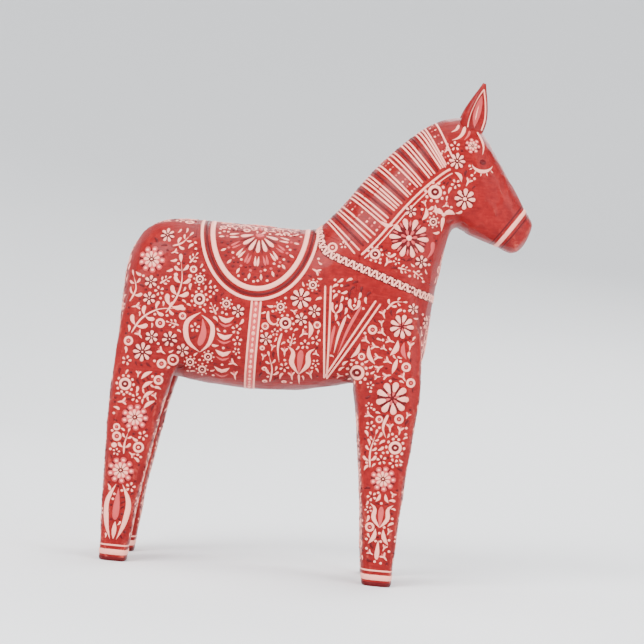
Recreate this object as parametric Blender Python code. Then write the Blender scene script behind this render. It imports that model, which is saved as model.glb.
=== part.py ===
"""A large dala horse, built the way a horse of this size is built: pine boards are glued up in
three layers around hidden dowels, the block is carved to shape, and two ears are pegged into the
head. +X is where the horse looks, +Y is its left side and +Z is up. The origin is on the floor
under the middle of the horse.

The outline is drawn for a horse 400 units tall. HEIGHT sets its real size."""

import math
from collections import namedtuple

import bmesh
import bpy
from mathutils import Matrix, Vector

# Driving dimensions, in metres
HEIGHT = 0.400
CORE_THICKNESS = 0.044
GLUE_GAP = 0.0003
DOWEL_DIAMETER = 0.010
DOWEL_CLEARANCE = 0.0003
DOWEL_END_ROOM = 0.0012
EAR_CLEARANCE = 0.0003

UNIT = HEIGHT / 400
CORE_HALF = CORE_THICKNESS / 2 / UNIT
OUTER_REACH = 70
BODY_RING_POINTS = 28
BODY_STEPS = 2
LEG_RING_POINTS = 20
EAR_RING_POINTS = 14
DOWEL_SIDES = 16

# Where the boards meet, in outline units
HIND_SEAM_X = -104
FORE_SEAM_X = 24
NECK_JOINT = Vector((-14, 272))
NECK_JOINT_SLOPE = -0.36
CORE_JOINT_LIFT = 18

Station = namedtuple("Station", "top bottom half_width squareness")
LegStation = namedtuple("LegStation", "z rear front outer inner")
EarStation = namedtuple("EarStation", "along half_length half_width")
Dowel = namedtuple("Dowel", "name centre direction length")

# The body from the rump to the muzzle. Each station is one carved cross-section: a point on the
# back, crest or forehead, a point on the belly, throat or jaw, and the half width between them.
BODY = (
    Station((-157.8, 218), (-157.8, 164), 20, 2.6),
    Station((-156.6, 233), (-157.4, 156), 32, 2.8),
    Station((-152.5, 248), (-154.0, 151.5), 42, 3.0),
    Station((-144.0, 260.5), (-146.0, 149), 49, 3.2),
    Station((-131.0, 268), (-131.0, 148), 53, 3.4),
    Station((-113.0, 270.8), (-112.0, 146.5), 54.6, 3.2),
    Station((-88.0, 271.2), (-86.0, 143.5), 55.2, 2.7),
    Station((-60.0, 271), (-54.0, 142), 55.5, 2.6),
    Station((-34.0, 271), (-22.0, 143.8), 55.2, 2.6),
    Station((-19.0, 271.6), (8.0, 149), 54.6, 2.7),
    Station((-11.0, 273.4), (34.0, 155.5), 54.0, 3.0),
    Station((-5.5, 278), (58.0, 158), 53.2, 3.2),
    Station((0.0, 284), (74.0, 164), 51.8, 3.1),
    Station((6.5, 292), (82.5, 180), 50.0, 2.9),
    Station((14.0, 302.5), (84.6, 203), 47.6, 2.7),
    Station((23.5, 316), (86.0, 225), 44.8, 2.6),
    Station((35.5, 331), (88.3, 246), 41.8, 2.6),
    Station((49.0, 345.5), (91.0, 265), 38.8, 2.6),
    Station((64.0, 358.5), (94.0, 279), 36.0, 2.7),
    Station((81.0, 368.5), (98.5, 285), 33.8, 2.8),
    Station((96.0, 371.0), (105.0, 282.5), 32.4, 2.9),
    Station((108.5, 364.0), (112.5, 279.5), 31.2, 3.0),
    Station((119.0, 352.0), (120.0, 277), 29.8, 3.0),
    Station((129.5, 337.0), (127.5, 274.8), 28.0, 3.0),
    Station((139.5, 322.0), (134.0, 272.8), 26.0, 3.0),
    Station((147.5, 310.0), (139.5, 271), 24.0, 3.0),
    Station((153.8, 301.0), (144.0, 269.8), 21.8, 2.9),
    Station((157.4, 295.0), (148.0, 270.8), 18.0, 2.7),
    Station((158.6, 290.0), (152.0, 274.8), 12.0, 2.4),
)

# Each leg from the hoof up to where it is lost inside the trunk
HIND_LEG = (
    LegStation(0.0, -153.2, -135.6, 48.6, 26.6),
    LegStation(1.4, -154.6, -134.2, 50.0, 25.2),
    LegStation(16.0, -155.6, -132.6, 50.6, 24.8),
    LegStation(51.0, -157.2, -129.2, 51.8, 24.0),
    LegStation(80.0, -158.2, -124.4, 52.8, 23.4),
    LegStation(116.0, -158.6, -118.6, 53.8, 23.0),
    LegStation(146.0, -158.2, -111.8, 54.2, 22.8),
    LegStation(172.0, -157.0, -104.0, 54.0, 22.8),
    LegStation(198.0, -154.0, -99.0, 53.0, 23.4),
    LegStation(224.0, -149.0, -97.0, 51.0, 24.0),
    LegStation(248.0, -141.0, -100.0, 46.0, 25.0),
)
FORE_LEG = (
    LegStation(0.0, 52.0, 71.6, 48.6, 26.6),
    LegStation(1.4, 50.6, 73.0, 50.0, 25.2),
    LegStation(20.0, 48.4, 73.6, 50.8, 24.6),
    LegStation(53.0, 45.0, 74.8, 51.8, 24.0),
    LegStation(90.0, 40.2, 77.0, 52.8, 23.4),
    LegStation(122.0, 35.6, 79.6, 53.4, 23.0),
    LegStation(152.0, 30.0, 81.4, 53.6, 22.8),
    LegStation(176.0, 24.0, 79.8, 53.2, 22.8),
    LegStation(202.0, 20.0, 77.0, 52.2, 23.4),
    LegStation(230.0, 20.0, 71.0, 49.6, 24.0),
    LegStation(254.0, 28.0, 62.0, 44.0, 25.0),
)
LEG_SQUARENESS = 3.6
EAR_SQUARENESS = 2.2

# An ear is one whittled piece: a round peg, a shoulder let into the head, a leaf-shaped blade
EAR_ROOT = Vector((102.4, 14.6, 362.0))
EAR_TIP = Vector((109.3, 19.0, 400.0))
EAR_BLADE_TURN = math.radians(28)
EAR_PEG_RADIUS = 3.6
EAR_PEG_DEPTH = 15.0
EAR_SHOULDER_STEP = 0.1
EAR_BLADE = (
    EarStation(-3.5, 9.4, 5.4),
    EarStation(3.0, 10.6, 6.2),
    EarStation(10.0, 10.8, 6.4),
    EarStation(18.0, 9.2, 5.6),
    EarStation(26.0, 6.4, 4.2),
    EarStation(33.0, 3.4, 2.6),
    EarStation(38.6, 1.2, 1.2),
)

ACROSS = Vector((0, 1, 0))
UP_THE_NECK = Vector((-NECK_JOINT_SLOPE, 0, 1)).normalized()
DOWELS = (
    Dowel("dowel_rump_upper", (-128, 0, 234), ACROSS, 76),
    Dowel("dowel_rump_lower", (-133, 0, 184), ACROSS, 76),
    Dowel("dowel_belly_rear", (-72, 0, 206), ACROSS, 78),
    Dowel("dowel_belly_front", (-12, 0, 206), ACROSS, 78),
    Dowel("dowel_shoulder_upper", (50, 0, 222), ACROSS, 74),
    Dowel("dowel_shoulder_lower", (58, 0, 182), ACROSS, 74),
    Dowel("dowel_neck_lap", (46, 0, 260), ACROSS, 66),
    Dowel("dowel_neck_upper", (72, 0, 322), ACROSS, 56),
    Dowel("dowel_core_rear", (22, 0, 278.1), UP_THE_NECK, 44),
    Dowel("dowel_core_front", (69, 0, 261.2), UP_THE_NECK, 44),
)


def clear_scene():
    """Removes whatever the scene holds."""
    for obj in list(bpy.data.objects):
        bpy.data.objects.remove(obj)


def material(name, colour, roughness):
    """A plain painted or bare wood surface."""
    made = bpy.data.materials.new(name)
    made.use_nodes = True
    shader = made.node_tree.nodes["Principled BSDF"]
    shader.inputs["Base Color"].default_value = (*colour, 1)
    shader.inputs["Roughness"].default_value = roughness
    shader.inputs["Metallic"].default_value = 0
    return made


def new_object(name, mesh_source, surface=None):
    """An object in the scene, made from a bmesh in outline units and scaled to real size."""
    bmesh.ops.recalc_face_normals(mesh_source, faces=mesh_source.faces)
    mesh = bpy.data.meshes.new(name)
    mesh_source.to_mesh(mesh)
    mesh_source.free()
    mesh.transform(Matrix.Scale(UNIT, 4))
    mesh.shade_smooth()
    mesh.set_sharp_from_angle(angle=math.radians(38))
    if surface:
        mesh.materials.append(surface)
    obj = bpy.data.objects.new(name, mesh)
    bpy.context.scene.collection.objects.link(obj)
    return obj


def as_guide(obj):
    """Marks an object that only shapes the others and is no part of the horse."""
    obj.hide_render = True
    obj.display_type = "WIRE"
    return obj


def boolean(obj, operation, other):
    """Adds one Boolean to the object's modifiers."""
    modifier = obj.modifiers.new(f"{operation.lower()}_{other.name}", "BOOLEAN")
    modifier.operation = operation
    modifier.solver = "EXACT"
    modifier.object = other


def blend(a, b, c, d, t):
    """The Catmull-Rom value between b and c."""
    return 0.5 * (
        2 * b + (c - a) * t + (2 * a - 5 * b + 4 * c - d) * t**2 + (3 * b - a - 3 * c + d) * t**3
    )


def refined(rows, steps):
    """The rows of numbers with a smooth curve run through each column."""
    found = []
    for i in range(len(rows) - 1):
        near = [rows[min(max(i + k, 0), len(rows) - 1)] for k in (-1, 0, 1, 2)]
        for step in range(steps):
            found.append([blend(*column, step / steps) for column in zip(*near)])
    return found + [list(rows[-1])]


def rounded_ring(count, squareness):
    """Points round a superellipse of half size 1: an ellipse at 2, a rounded square above that."""
    points = []
    for i in range(count):
        angle = 2 * math.pi * (i + 0.5) / count
        along, across = math.cos(angle), math.sin(angle)
        points.append(
            (
                math.copysign(abs(along) ** (2 / squareness), along),
                math.copysign(abs(across) ** (2 / squareness), across),
            )
        )
    return points


def loft(rings):
    """A closed skin over rings of points that all have the same count."""
    bm = bmesh.new()
    loops = [[bm.verts.new(point) for point in ring] for ring in rings]
    for lower, upper in zip(loops, loops[1:]):
        for i, vert in enumerate(lower):
            following = (i + 1) % len(lower)
            bm.faces.new((vert, lower[following], upper[following], upper[i]))
    bm.faces.new(loops[0])
    bm.faces.new(loops[-1])
    bmesh.ops.triangulate(bm, faces=bm.faces)
    return bm


def body_rings():
    """The cross-sections of trunk, neck and head, with the crest side a little narrower."""
    rows = [(*s.top, *s.bottom, s.half_width, s.squareness) for s in BODY]
    rings = []
    for top_x, top_z, bottom_x, bottom_z, half_width, squareness in refined(rows, BODY_STEPS):
        top = Vector((top_x, 0, top_z))
        bottom = Vector((bottom_x, 0, bottom_z))
        middle, half = (top + bottom) / 2, (top - bottom) / 2
        rings.append(
            [
                middle + half * along + ACROSS * half_width * across * (1 - 0.06 * along)
                for along, across in rounded_ring(BODY_RING_POINTS, squareness)
            ]
        )
    return rings


def leg_rings(stations, side):
    """The level cross-sections of one leg, on the left where side is 1 and on the right at -1."""
    rings = []
    for s in stations:
        middle = Vector(((s.rear + s.front) / 2, side * (s.outer + s.inner) / 2, s.z))
        half_length, half_width = (s.front - s.rear) / 2, (s.outer - s.inner) / 2
        rings.append(
            [
                middle + Vector((half_length * along, half_width * across, 0))
                for along, across in rounded_ring(LEG_RING_POINTS, LEG_SQUARENESS)
            ]
        )
    return rings


def carved_form():
    """The whole horse without its ears, as the carver sees it. Each board is cut from it."""
    form = as_guide(new_object("carved_form", loft(body_rings())))
    for name, stations in (("hind", HIND_LEG), ("fore", FORE_LEG)):
        for side, side_name in ((1, "left"), (-1, "right")):
            leg = new_object(f"form_{name}_leg_{side_name}", loft(leg_rings(stations, side)))
            boolean(form, "UNION", as_guide(leg))
    return form


def joint_height(x, lift=0.0):
    """The height of the neck joint above a point along the horse."""
    lift_along = UP_THE_NECK * lift
    return NECK_JOINT.y + lift_along.z + NECK_JOINT_SLOPE * (x - NECK_JOINT.x - lift_along.x)


def blank(name, outline, y_from, y_to, surface):
    """A rough board: its outline, seen from the side, less half a glue gap all round."""
    bm = bmesh.new()
    face = bm.faces.new([bm.verts.new((x, y_from, z)) for x, z in outline])
    face.normal_update()
    half_gap = GLUE_GAP / 2 / UNIT
    rim = bmesh.ops.inset_individual(bm, faces=[face], thickness=half_gap, use_even_offset=True)
    bmesh.ops.delete(bm, geom=rim["faces"], context="FACES")
    grown = bmesh.ops.extrude_face_region(bm, geom=[face])
    moved = [v for v in grown["geom"] if isinstance(v, bmesh.types.BMVert)]
    bmesh.ops.translate(bm, verts=moved, vec=(0, y_to - y_from, 0))
    return new_object(name, bm, surface)


def board_outlines():
    """The side outlines of the boards, as {name: points}, for the core and for each outer layer."""
    floor, belly, sky = -5, 100, 420
    rear, chest, nose = -175, 125, 200
    core = {
        "trunk_core": (
            (rear, belly),
            (chest, belly),
            (chest, joint_height(chest, CORE_JOINT_LIFT)),
            (-60, joint_height(-60, CORE_JOINT_LIFT)),
            (rear, joint_height(-60, CORE_JOINT_LIFT)),
        ),
        "neck_head_core": (
            (-60, joint_height(-60, CORE_JOINT_LIFT)),
            (chest, joint_height(chest, CORE_JOINT_LIFT)),
            (nose, joint_height(chest, CORE_JOINT_LIFT)),
            (nose, sky),
            (-60, sky),
        ),
    }
    outer = {
        "hind_leg_board": (
            (rear, floor),
            (HIND_SEAM_X, floor),
            (HIND_SEAM_X, sky),
            (rear, sky),
        ),
        "belly_board": (
            (HIND_SEAM_X, belly),
            (FORE_SEAM_X, belly),
            (FORE_SEAM_X, joint_height(FORE_SEAM_X)),
            tuple(NECK_JOINT),
            (NECK_JOINT.x, sky),
            (HIND_SEAM_X, sky),
        ),
        "fore_leg_board": (
            (FORE_SEAM_X, floor),
            (chest, floor),
            (chest, joint_height(chest)),
            (FORE_SEAM_X, joint_height(FORE_SEAM_X)),
        ),
        "neck_cheek_board": (
            tuple(NECK_JOINT),
            (chest, joint_height(chest)),
            (nose, joint_height(chest)),
            (nose, sky),
            (NECK_JOINT.x, sky),
        ),
    }
    return core, outer


def glued_boards(form, surface):
    """The ten boards, each one a blank carved to the horse's form."""
    half_gap = GLUE_GAP / 2 / UNIT
    core, outer = board_outlines()
    boards = []
    for name, outline in core.items():
        inner = CORE_HALF - half_gap
        boards.append(blank(name, outline, -inner, inner, surface))
    for name, outline in outer.items():
        for side, side_name in ((1, "left"), (-1, "right")):
            inner = side * (CORE_HALF + half_gap)
            boards.append(
                blank(f"{side_name}_{name}", outline, inner, side * OUTER_REACH, surface)
            )
    for board in boards:
        boolean(board, "INTERSECT", form)
    return boards


def turned(name, spec, radius, length, chamfer, surface=None):
    """A round pin along the dowel's direction, with chamfered ends."""
    half = length / 2
    profile = (
        (-half, radius - chamfer),
        (chamfer - half, radius),
        (half - chamfer, radius),
        (half, radius - chamfer),
    )
    turn = Vector((0, 0, 1)).rotation_difference(spec.direction)
    rings = []
    for along, ring_radius in profile:
        rings.append(
            [
                Vector(spec.centre)
                + turn @ Vector((ring_radius * across, ring_radius * up, along))
                for across, up in rounded_ring(DOWEL_SIDES, 2)
            ]
        )
    return new_object(name, loft(rings), surface)


def fit_dowels(boards, surface):
    """The hidden dowels, each in a hole drilled through the boards that it ties together."""
    radius = DOWEL_DIAMETER / 2 / UNIT
    clearance = DOWEL_CLEARANCE / UNIT
    end_room = DOWEL_END_ROOM / UNIT
    for spec in DOWELS:
        turned(spec.name, spec, radius, spec.length, 0.8, surface)
        drill = turned(
            f"drill_{spec.name}", spec, radius + clearance, spec.length + 2 * end_room, 0.1
        )
        as_guide(drill)
        for board in boards:
            if touches(board, drill):
                boolean(board, "DIFFERENCE", drill)


def box_of(obj):
    """The lowest and highest corner of an object's own mesh."""
    corners = [Vector(corner) for corner in obj.bound_box]
    return [Vector([pick(c[k] for c in corners) for k in range(3)]) for pick in (min, max)]


def touches(a, b):
    """Whether the boxes of two objects overlap."""
    (a_low, a_high), (b_low, b_high) = box_of(a), box_of(b)
    return all(a_low[k] < b_high[k] and b_low[k] < a_high[k] for k in range(3))


def ear_stations(grow, deeper):
    """An ear from the end of its peg to its tip, grown all round, with the peg made deeper."""
    radius = EAR_PEG_RADIUS + grow
    shoulder = EAR_BLADE[0].along - grow
    peg = (
        EarStation(-EAR_PEG_DEPTH - deeper, radius, radius),
        EarStation(shoulder - EAR_SHOULDER_STEP, radius, radius),
        EarStation(shoulder, EAR_BLADE[0].half_length + grow, EAR_BLADE[0].half_width + grow),
    )
    blade = [EarStation(s.along, s.half_length + grow, s.half_width + grow) for s in EAR_BLADE[1:]]
    return [*peg, *blade]


def ear_skin(side, stations):
    """One ear's closed skin, on the left where side is 1 and on the right at -1."""
    root, tip = (Vector((v.x, side * v.y, v.z)) for v in (EAR_ROOT, EAR_TIP))
    axis = (tip - root).normalized()
    forward = Matrix.Rotation(-side * EAR_BLADE_TURN, 3, axis) @ Vector((1, 0, 0))
    forward = (forward - axis * forward.dot(axis)).normalized()
    sideways = axis.cross(forward)
    rings = []
    for s in stations:
        centre = root + axis * s.along
        rings.append(
            [
                centre + forward * s.half_length * along + sideways * s.half_width * across
                for along, across in rounded_ring(EAR_RING_POINTS, EAR_SQUARENESS)
            ]
        )
    return loft(rings)


def fit_ears(head, surface):
    """Both ears, with their pegs and shoulders let into the head."""
    ear = ear_stations(0, 0)
    socket = ear_stations(EAR_CLEARANCE / UNIT, DOWEL_END_ROOM / UNIT)
    for side, side_name in ((1, "left"), (-1, "right")):
        new_object(f"{side_name}_ear", ear_skin(side, ear), surface)
        cutter = as_guide(new_object(f"socket_{side_name}_ear", ear_skin(side, socket)))
        boolean(head, "DIFFERENCE", cutter)


def main():
    clear_scene()
    painted = material("painted_pine", (0.60, 0.075, 0.055), 0.38)
    bare = material("bare_birch", (0.72, 0.53, 0.33), 0.62)
    boards = glued_boards(carved_form(), painted)
    fit_dowels(boards, bare)
    fit_ears(next(board for board in boards if board.name == "neck_head_core"), painted)


main()
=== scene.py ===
"""The looks of the dala horse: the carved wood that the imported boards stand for, and its painting.

The horse's outline is drawn in units of 1/400 of its height, as it is in the model, so U turns a
length in those units into metres. In a side view, x runs towards the nose and z runs up."""

import math
import random
from collections import defaultdict, namedtuple
from itertools import product

import bmesh
import bpy
import numpy as np
from mathutils import Matrix, Vector
from mathutils.bvhtree import BVHTree
from mathutils.kdtree import KDTree


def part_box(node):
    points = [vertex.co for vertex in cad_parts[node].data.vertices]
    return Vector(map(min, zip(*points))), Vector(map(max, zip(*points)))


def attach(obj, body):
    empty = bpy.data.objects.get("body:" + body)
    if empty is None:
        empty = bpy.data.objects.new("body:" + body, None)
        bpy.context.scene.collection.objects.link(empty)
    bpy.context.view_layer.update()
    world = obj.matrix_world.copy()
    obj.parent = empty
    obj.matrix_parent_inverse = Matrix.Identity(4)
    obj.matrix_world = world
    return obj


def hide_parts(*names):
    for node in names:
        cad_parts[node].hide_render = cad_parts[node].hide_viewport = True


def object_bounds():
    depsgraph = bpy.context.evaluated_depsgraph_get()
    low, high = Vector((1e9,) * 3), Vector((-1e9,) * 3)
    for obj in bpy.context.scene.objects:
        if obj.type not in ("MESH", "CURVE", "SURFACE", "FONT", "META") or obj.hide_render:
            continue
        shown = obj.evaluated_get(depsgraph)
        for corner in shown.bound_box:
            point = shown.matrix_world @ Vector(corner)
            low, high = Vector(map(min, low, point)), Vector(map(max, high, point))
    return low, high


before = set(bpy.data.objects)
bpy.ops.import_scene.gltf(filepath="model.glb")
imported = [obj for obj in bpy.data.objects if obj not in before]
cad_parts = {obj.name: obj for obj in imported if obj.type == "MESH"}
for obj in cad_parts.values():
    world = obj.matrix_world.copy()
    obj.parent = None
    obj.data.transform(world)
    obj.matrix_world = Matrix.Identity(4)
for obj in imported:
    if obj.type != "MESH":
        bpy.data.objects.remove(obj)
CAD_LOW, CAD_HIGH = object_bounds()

HEIGHT = 400
U = (CAD_HIGH.z - CAD_LOW.z) / HEIGHT
CORE_LOW, CORE_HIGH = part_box("trunk_core")
CORE_HALF = (CORE_HIGH.y - CORE_LOW.y) / 2 / U
OUTER_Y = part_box("left_belly_board")[0].y / U
HIND_SEAM_X = (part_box("left_belly_board")[0].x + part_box("left_hind_leg_board")[1].x) / 2 / U
FORE_SEAM_X = (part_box("left_belly_board")[1].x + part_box("left_fore_leg_board")[0].x) / 2 / U
NECK_JOINT = Vector((-14, 0, 272))
NECK_JOINT_UP = Vector((0.36, 0, 1)).normalized()
CORE_JOINT_LIFT = 18
SEAM_GAP = 0.16
DOWEL_CLEARANCE = 0.5

VOXEL = 1.35
BODY_RING_POINTS = 96
BODY_STEPS = 9
LEG_RING_POINTS = 56
LEG_STEPS = 6
CREST_NARROWING = 0.06
BLOCK_SMOOTHING = 10
FACET_SEED = 7
FACETS = 1500
FACET_FLATNESS = 0.55
FACET_STRETCH = (1, 1, 0.72)
FACET_DEPTH = 1.2
FACET_SMOOTHING = 2
RELAX_ROUNDS = 14
RELAX_SHARE = 0.6
FULLY_PROUD = 0.8
BOARD_SHARP = 42
EAR_SHARP = 50

Station = namedtuple("Station", "top bottom half_width squareness")
LegStation = namedtuple("LegStation", "z rear front outer inner")
EarStation = namedtuple("EarStation", "along half_length half_width")

# The body from the rump to the muzzle: a point on the back, crest or forehead, a point on the
# belly, throat or jaw, and the half width between them
BODY = (
    Station((-157.8, 218), (-157.8, 164), 20, 2.6),
    Station((-156.6, 233), (-157.4, 156), 32, 2.8),
    Station((-152.5, 248), (-154.0, 151.5), 42, 3.0),
    Station((-144.0, 260.5), (-146.0, 149), 49, 3.2),
    Station((-131.0, 268), (-131.0, 148), 53, 3.4),
    Station((-113.0, 270.8), (-112.0, 146.5), 54.6, 3.2),
    Station((-88.0, 271.2), (-86.0, 143.5), 55.2, 2.7),
    Station((-60.0, 271), (-54.0, 142), 55.5, 2.6),
    Station((-34.0, 271), (-22.0, 143.8), 55.2, 2.6),
    Station((-19.0, 271.6), (8.0, 149), 54.6, 2.7),
    Station((-11.0, 273.4), (34.0, 155.5), 54.0, 3.0),
    Station((-5.5, 278), (58.0, 158), 53.2, 3.2),
    Station((0.0, 284), (74.0, 164), 51.8, 3.1),
    Station((6.5, 292), (82.5, 180), 50.0, 2.9),
    Station((14.0, 302.5), (84.6, 203), 47.6, 2.7),
    Station((23.5, 316), (86.0, 225), 44.8, 2.6),
    Station((35.5, 331), (88.3, 246), 41.8, 2.6),
    Station((49.0, 345.5), (91.0, 265), 38.8, 2.6),
    Station((64.0, 358.5), (94.0, 279), 36.0, 2.7),
    Station((81.0, 368.5), (98.5, 285), 33.8, 2.8),
    Station((96.0, 371.0), (105.0, 282.5), 32.4, 2.9),
    Station((108.5, 364.0), (112.5, 279.5), 31.2, 3.0),
    Station((119.0, 352.0), (120.0, 277), 29.8, 3.0),
    Station((129.5, 337.0), (127.5, 274.8), 28.0, 3.0),
    Station((139.5, 322.0), (134.0, 272.8), 26.0, 3.0),
    Station((147.5, 310.0), (139.5, 271), 24.0, 3.0),
    Station((153.8, 301.0), (144.0, 269.8), 21.8, 2.9),
    Station((157.4, 295.0), (148.0, 270.8), 18.0, 2.7),
    Station((158.6, 290.0), (152.0, 274.8), 12.0, 2.4),
)
HIND_LEG = (
    LegStation(0.0, -153.2, -135.6, 48.6, 26.6),
    LegStation(1.4, -154.6, -134.2, 50.0, 25.2),
    LegStation(16.0, -155.6, -132.6, 50.6, 24.8),
    LegStation(51.0, -157.2, -129.2, 51.8, 24.0),
    LegStation(80.0, -158.2, -124.4, 52.8, 23.4),
    LegStation(116.0, -158.6, -118.6, 53.8, 23.0),
    LegStation(146.0, -158.2, -111.8, 54.2, 22.8),
    LegStation(172.0, -157.0, -104.0, 54.0, 22.8),
    LegStation(198.0, -154.0, -99.0, 53.0, 23.4),
    LegStation(224.0, -149.0, -97.0, 51.0, 24.0),
    LegStation(248.0, -141.0, -100.0, 46.0, 25.0),
)
FORE_LEG = (
    LegStation(0.0, 52.0, 71.6, 48.6, 26.6),
    LegStation(1.4, 50.6, 73.0, 50.0, 25.2),
    LegStation(20.0, 48.4, 73.6, 50.8, 24.6),
    LegStation(53.0, 45.0, 74.8, 51.8, 24.0),
    LegStation(90.0, 40.2, 77.0, 52.8, 23.4),
    LegStation(122.0, 35.6, 79.6, 53.4, 23.0),
    LegStation(152.0, 30.0, 81.4, 53.6, 22.8),
    LegStation(176.0, 24.0, 79.8, 53.2, 22.8),
    LegStation(202.0, 20.0, 77.0, 52.2, 23.4),
    LegStation(230.0, 20.0, 71.0, 49.6, 24.0),
    LegStation(254.0, 28.0, 62.0, 44.0, 25.0),
)
LEG_SQUARENESS = 3.6

EAR_ROOT = Vector((102.4, 14.6, 362.0))
EAR_TIP = Vector((109.3, 19.0, 400.0))
EAR_BLADE_TURN = math.radians(28)
EAR_PEG_RADIUS = 3.6
EAR_PEG_DEPTH = 15.0
EAR_RING_POINTS = 44
EAR_STEPS = 7
EAR_SQUARENESS = 2.2
EAR_HOLLOW_DEPTH = 0.95
EAR_HOLLOW_LENGTH = 35
EAR_HOLLOW_WIDTH = 0.74
EAR_BLADE = (
    EarStation(-3.5, 9.4, 5.4),
    EarStation(3.0, 10.6, 6.2),
    EarStation(10.0, 10.8, 6.4),
    EarStation(18.0, 9.2, 5.6),
    EarStation(26.0, 6.4, 4.2),
    EarStation(33.0, 3.4, 2.6),
    EarStation(38.6, 1.2, 1.2),
)

AHEAD = Vector((1, 0, 0))
ACROSS = Vector((0, 1, 0))
UP = Vector((0, 0, 1))
SIDES = ((1, "left"), (-1, "right"))


# ---- Shapes -----------------------------------------------------------------------------------


def blend(a, b, c, d, t):
    """The Catmull-Rom value between b and c."""
    return 0.5 * (
        2 * b + (c - a) * t + (2 * a - 5 * b + 4 * c - d) * t**2 + (3 * b - a - 3 * c + d) * t**3
    )


def refined(rows, steps):
    """The rows of numbers with a smooth curve run through each column."""
    found = []
    for i in range(len(rows) - 1):
        near = [rows[min(max(i + k, 0), len(rows) - 1)] for k in (-1, 0, 1, 2)]
        for step in range(steps):
            found.append([blend(*column, step / steps) for column in zip(*near)])
    return found + [list(rows[-1])]


def rounded_ring(count, squareness):
    """Points round a superellipse of half size 1: an ellipse at 2, a rounded square above that."""
    points = []
    for i in range(count):
        angle = 2 * math.pi * (i + 0.5) / count
        pair = math.cos(angle), math.sin(angle)
        points.append([math.copysign(abs(part) ** (2 / squareness), part) for part in pair])
    return points


def loft(bm, rings):
    """Adds a closed skin over rings of points that all have the same count."""
    loops = [[bm.verts.new(point) for point in ring] for ring in rings]
    for lower, upper in zip(loops, loops[1:]):
        for i, vert in enumerate(lower):
            following = (i + 1) % len(lower)
            bm.faces.new((vert, lower[following], upper[following], upper[i]))
    bm.faces.new(loops[0])
    bm.faces.new(loops[-1])


def body_rings():
    """The cross-sections of trunk, neck and head, with the crest side a little narrower."""
    rows = [(*s.top, *s.bottom, s.half_width, s.squareness) for s in BODY]
    for top_x, top_z, bottom_x, bottom_z, half_width, squareness in refined(rows, BODY_STEPS):
        top, bottom = Vector((top_x, 0, top_z)), Vector((bottom_x, 0, bottom_z))
        middle, half = (top + bottom) / 2, (top - bottom) / 2
        yield [
            middle + half * along + ACROSS * half_width * across * (1 - CREST_NARROWING * along)
            for along, across in rounded_ring(BODY_RING_POINTS, squareness)
        ]


def leg_rings(stations, side):
    """The level cross-sections of one leg, on the left where side is 1 and on the right at -1."""
    for z, rear, front, outer, inner in refined(stations, LEG_STEPS):
        middle = Vector(((rear + front) / 2, side * (outer + inner) / 2, z))
        yield [
            middle + Vector(((front - rear) / 2 * along, (outer - inner) / 2 * across, 0))
            for along, across in rounded_ring(LEG_RING_POINTS, LEG_SQUARENESS)
        ]


def linked(name, data):
    """A new object in the scene."""
    obj = bpy.data.objects.new(name, data)
    bpy.context.scene.collection.objects.link(obj)
    return obj


def mesh_object(name, bm, unit=U, sharp=None):
    """An object made from a bmesh in some unit. An angle makes it smooth up to edges that sharp."""
    mesh = bpy.data.meshes.new(name)
    bm.to_mesh(mesh)
    bm.free()
    mesh.transform(Matrix.Scale(unit, 4))
    if sharp:
        mesh.shade_smooth()
        mesh.set_sharp_from_angle(angle=math.radians(sharp))
    return linked(name, mesh)


def evaluated_mesh(obj):
    """The object's mesh with its modifiers applied."""
    graph = bpy.context.evaluated_depsgraph_get()
    return bpy.data.meshes.new_from_object(obj.evaluated_get(graph))


class Skin:
    """A mesh held as arrays in outline units: its points, its edges and its point normals."""

    def __init__(self, mesh):
        self.mesh = mesh
        self.points = self.rows("co") / U
        ends = np.empty(len(mesh.edges) * 2, np.int32)
        mesh.edges.foreach_get("vertices", ends)
        self.a, self.b = ends.reshape(-1, 2).T
        self.degree = np.bincount(ends, minlength=len(self.points))[:, None]

    def rows(self, field):
        """One vector for each point of the mesh."""
        values = np.empty(len(self.mesh.vertices) * 3, np.float32)
        self.mesh.vertices.foreach_get(field, values)
        return values.reshape(-1, 3).astype(float)

    def neighbour_mean(self, values):
        """The mean of each point's neighbours, for values of one or more columns."""
        count = len(self.points)
        columns = [
            np.bincount(self.a, weights=column[self.b], minlength=count)
            + np.bincount(self.b, weights=column[self.a], minlength=count)
            for column in values.T
        ]
        return np.stack(columns, axis=1) / self.degree

    def smooth(self, rounds, forward=0.55, back=-0.57):
        """Taubin smoothing, which takes out steps and keeps the volume."""
        for _ in range(rounds):
            for share in (forward, back):
                self.points += share * (self.neighbour_mean(self.points) - self.points)

    def store(self):
        """Writes the points back to the mesh."""
        self.mesh.vertices.foreach_set("co", (self.points * U).astype(np.float32).ravel())
        self.mesh.update()


def flatten_facets(skin):
    """Knife facets: each spot of the surface is drawn part of the way to a flat cut."""
    normals = skin.rows("normal")
    chosen = np.random.default_rng(FACET_SEED).choice(len(skin.points), FACETS, replace=False)
    tree = KDTree(FACETS)
    for place, index in enumerate(chosen):
        tree.insert(skin.points[index] * FACET_STRETCH, place)
    tree.balance()
    seeds = chosen[[tree.find(point * FACET_STRETCH)[1] for point in skin.points]]
    off = ((skin.points - skin.points[seeds]) * normals[seeds]).sum(axis=1, keepdims=True)
    skin.points -= FACET_FLATNESS * np.clip(off, -FACET_DEPTH, FACET_DEPTH) * normals[seeds]


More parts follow.
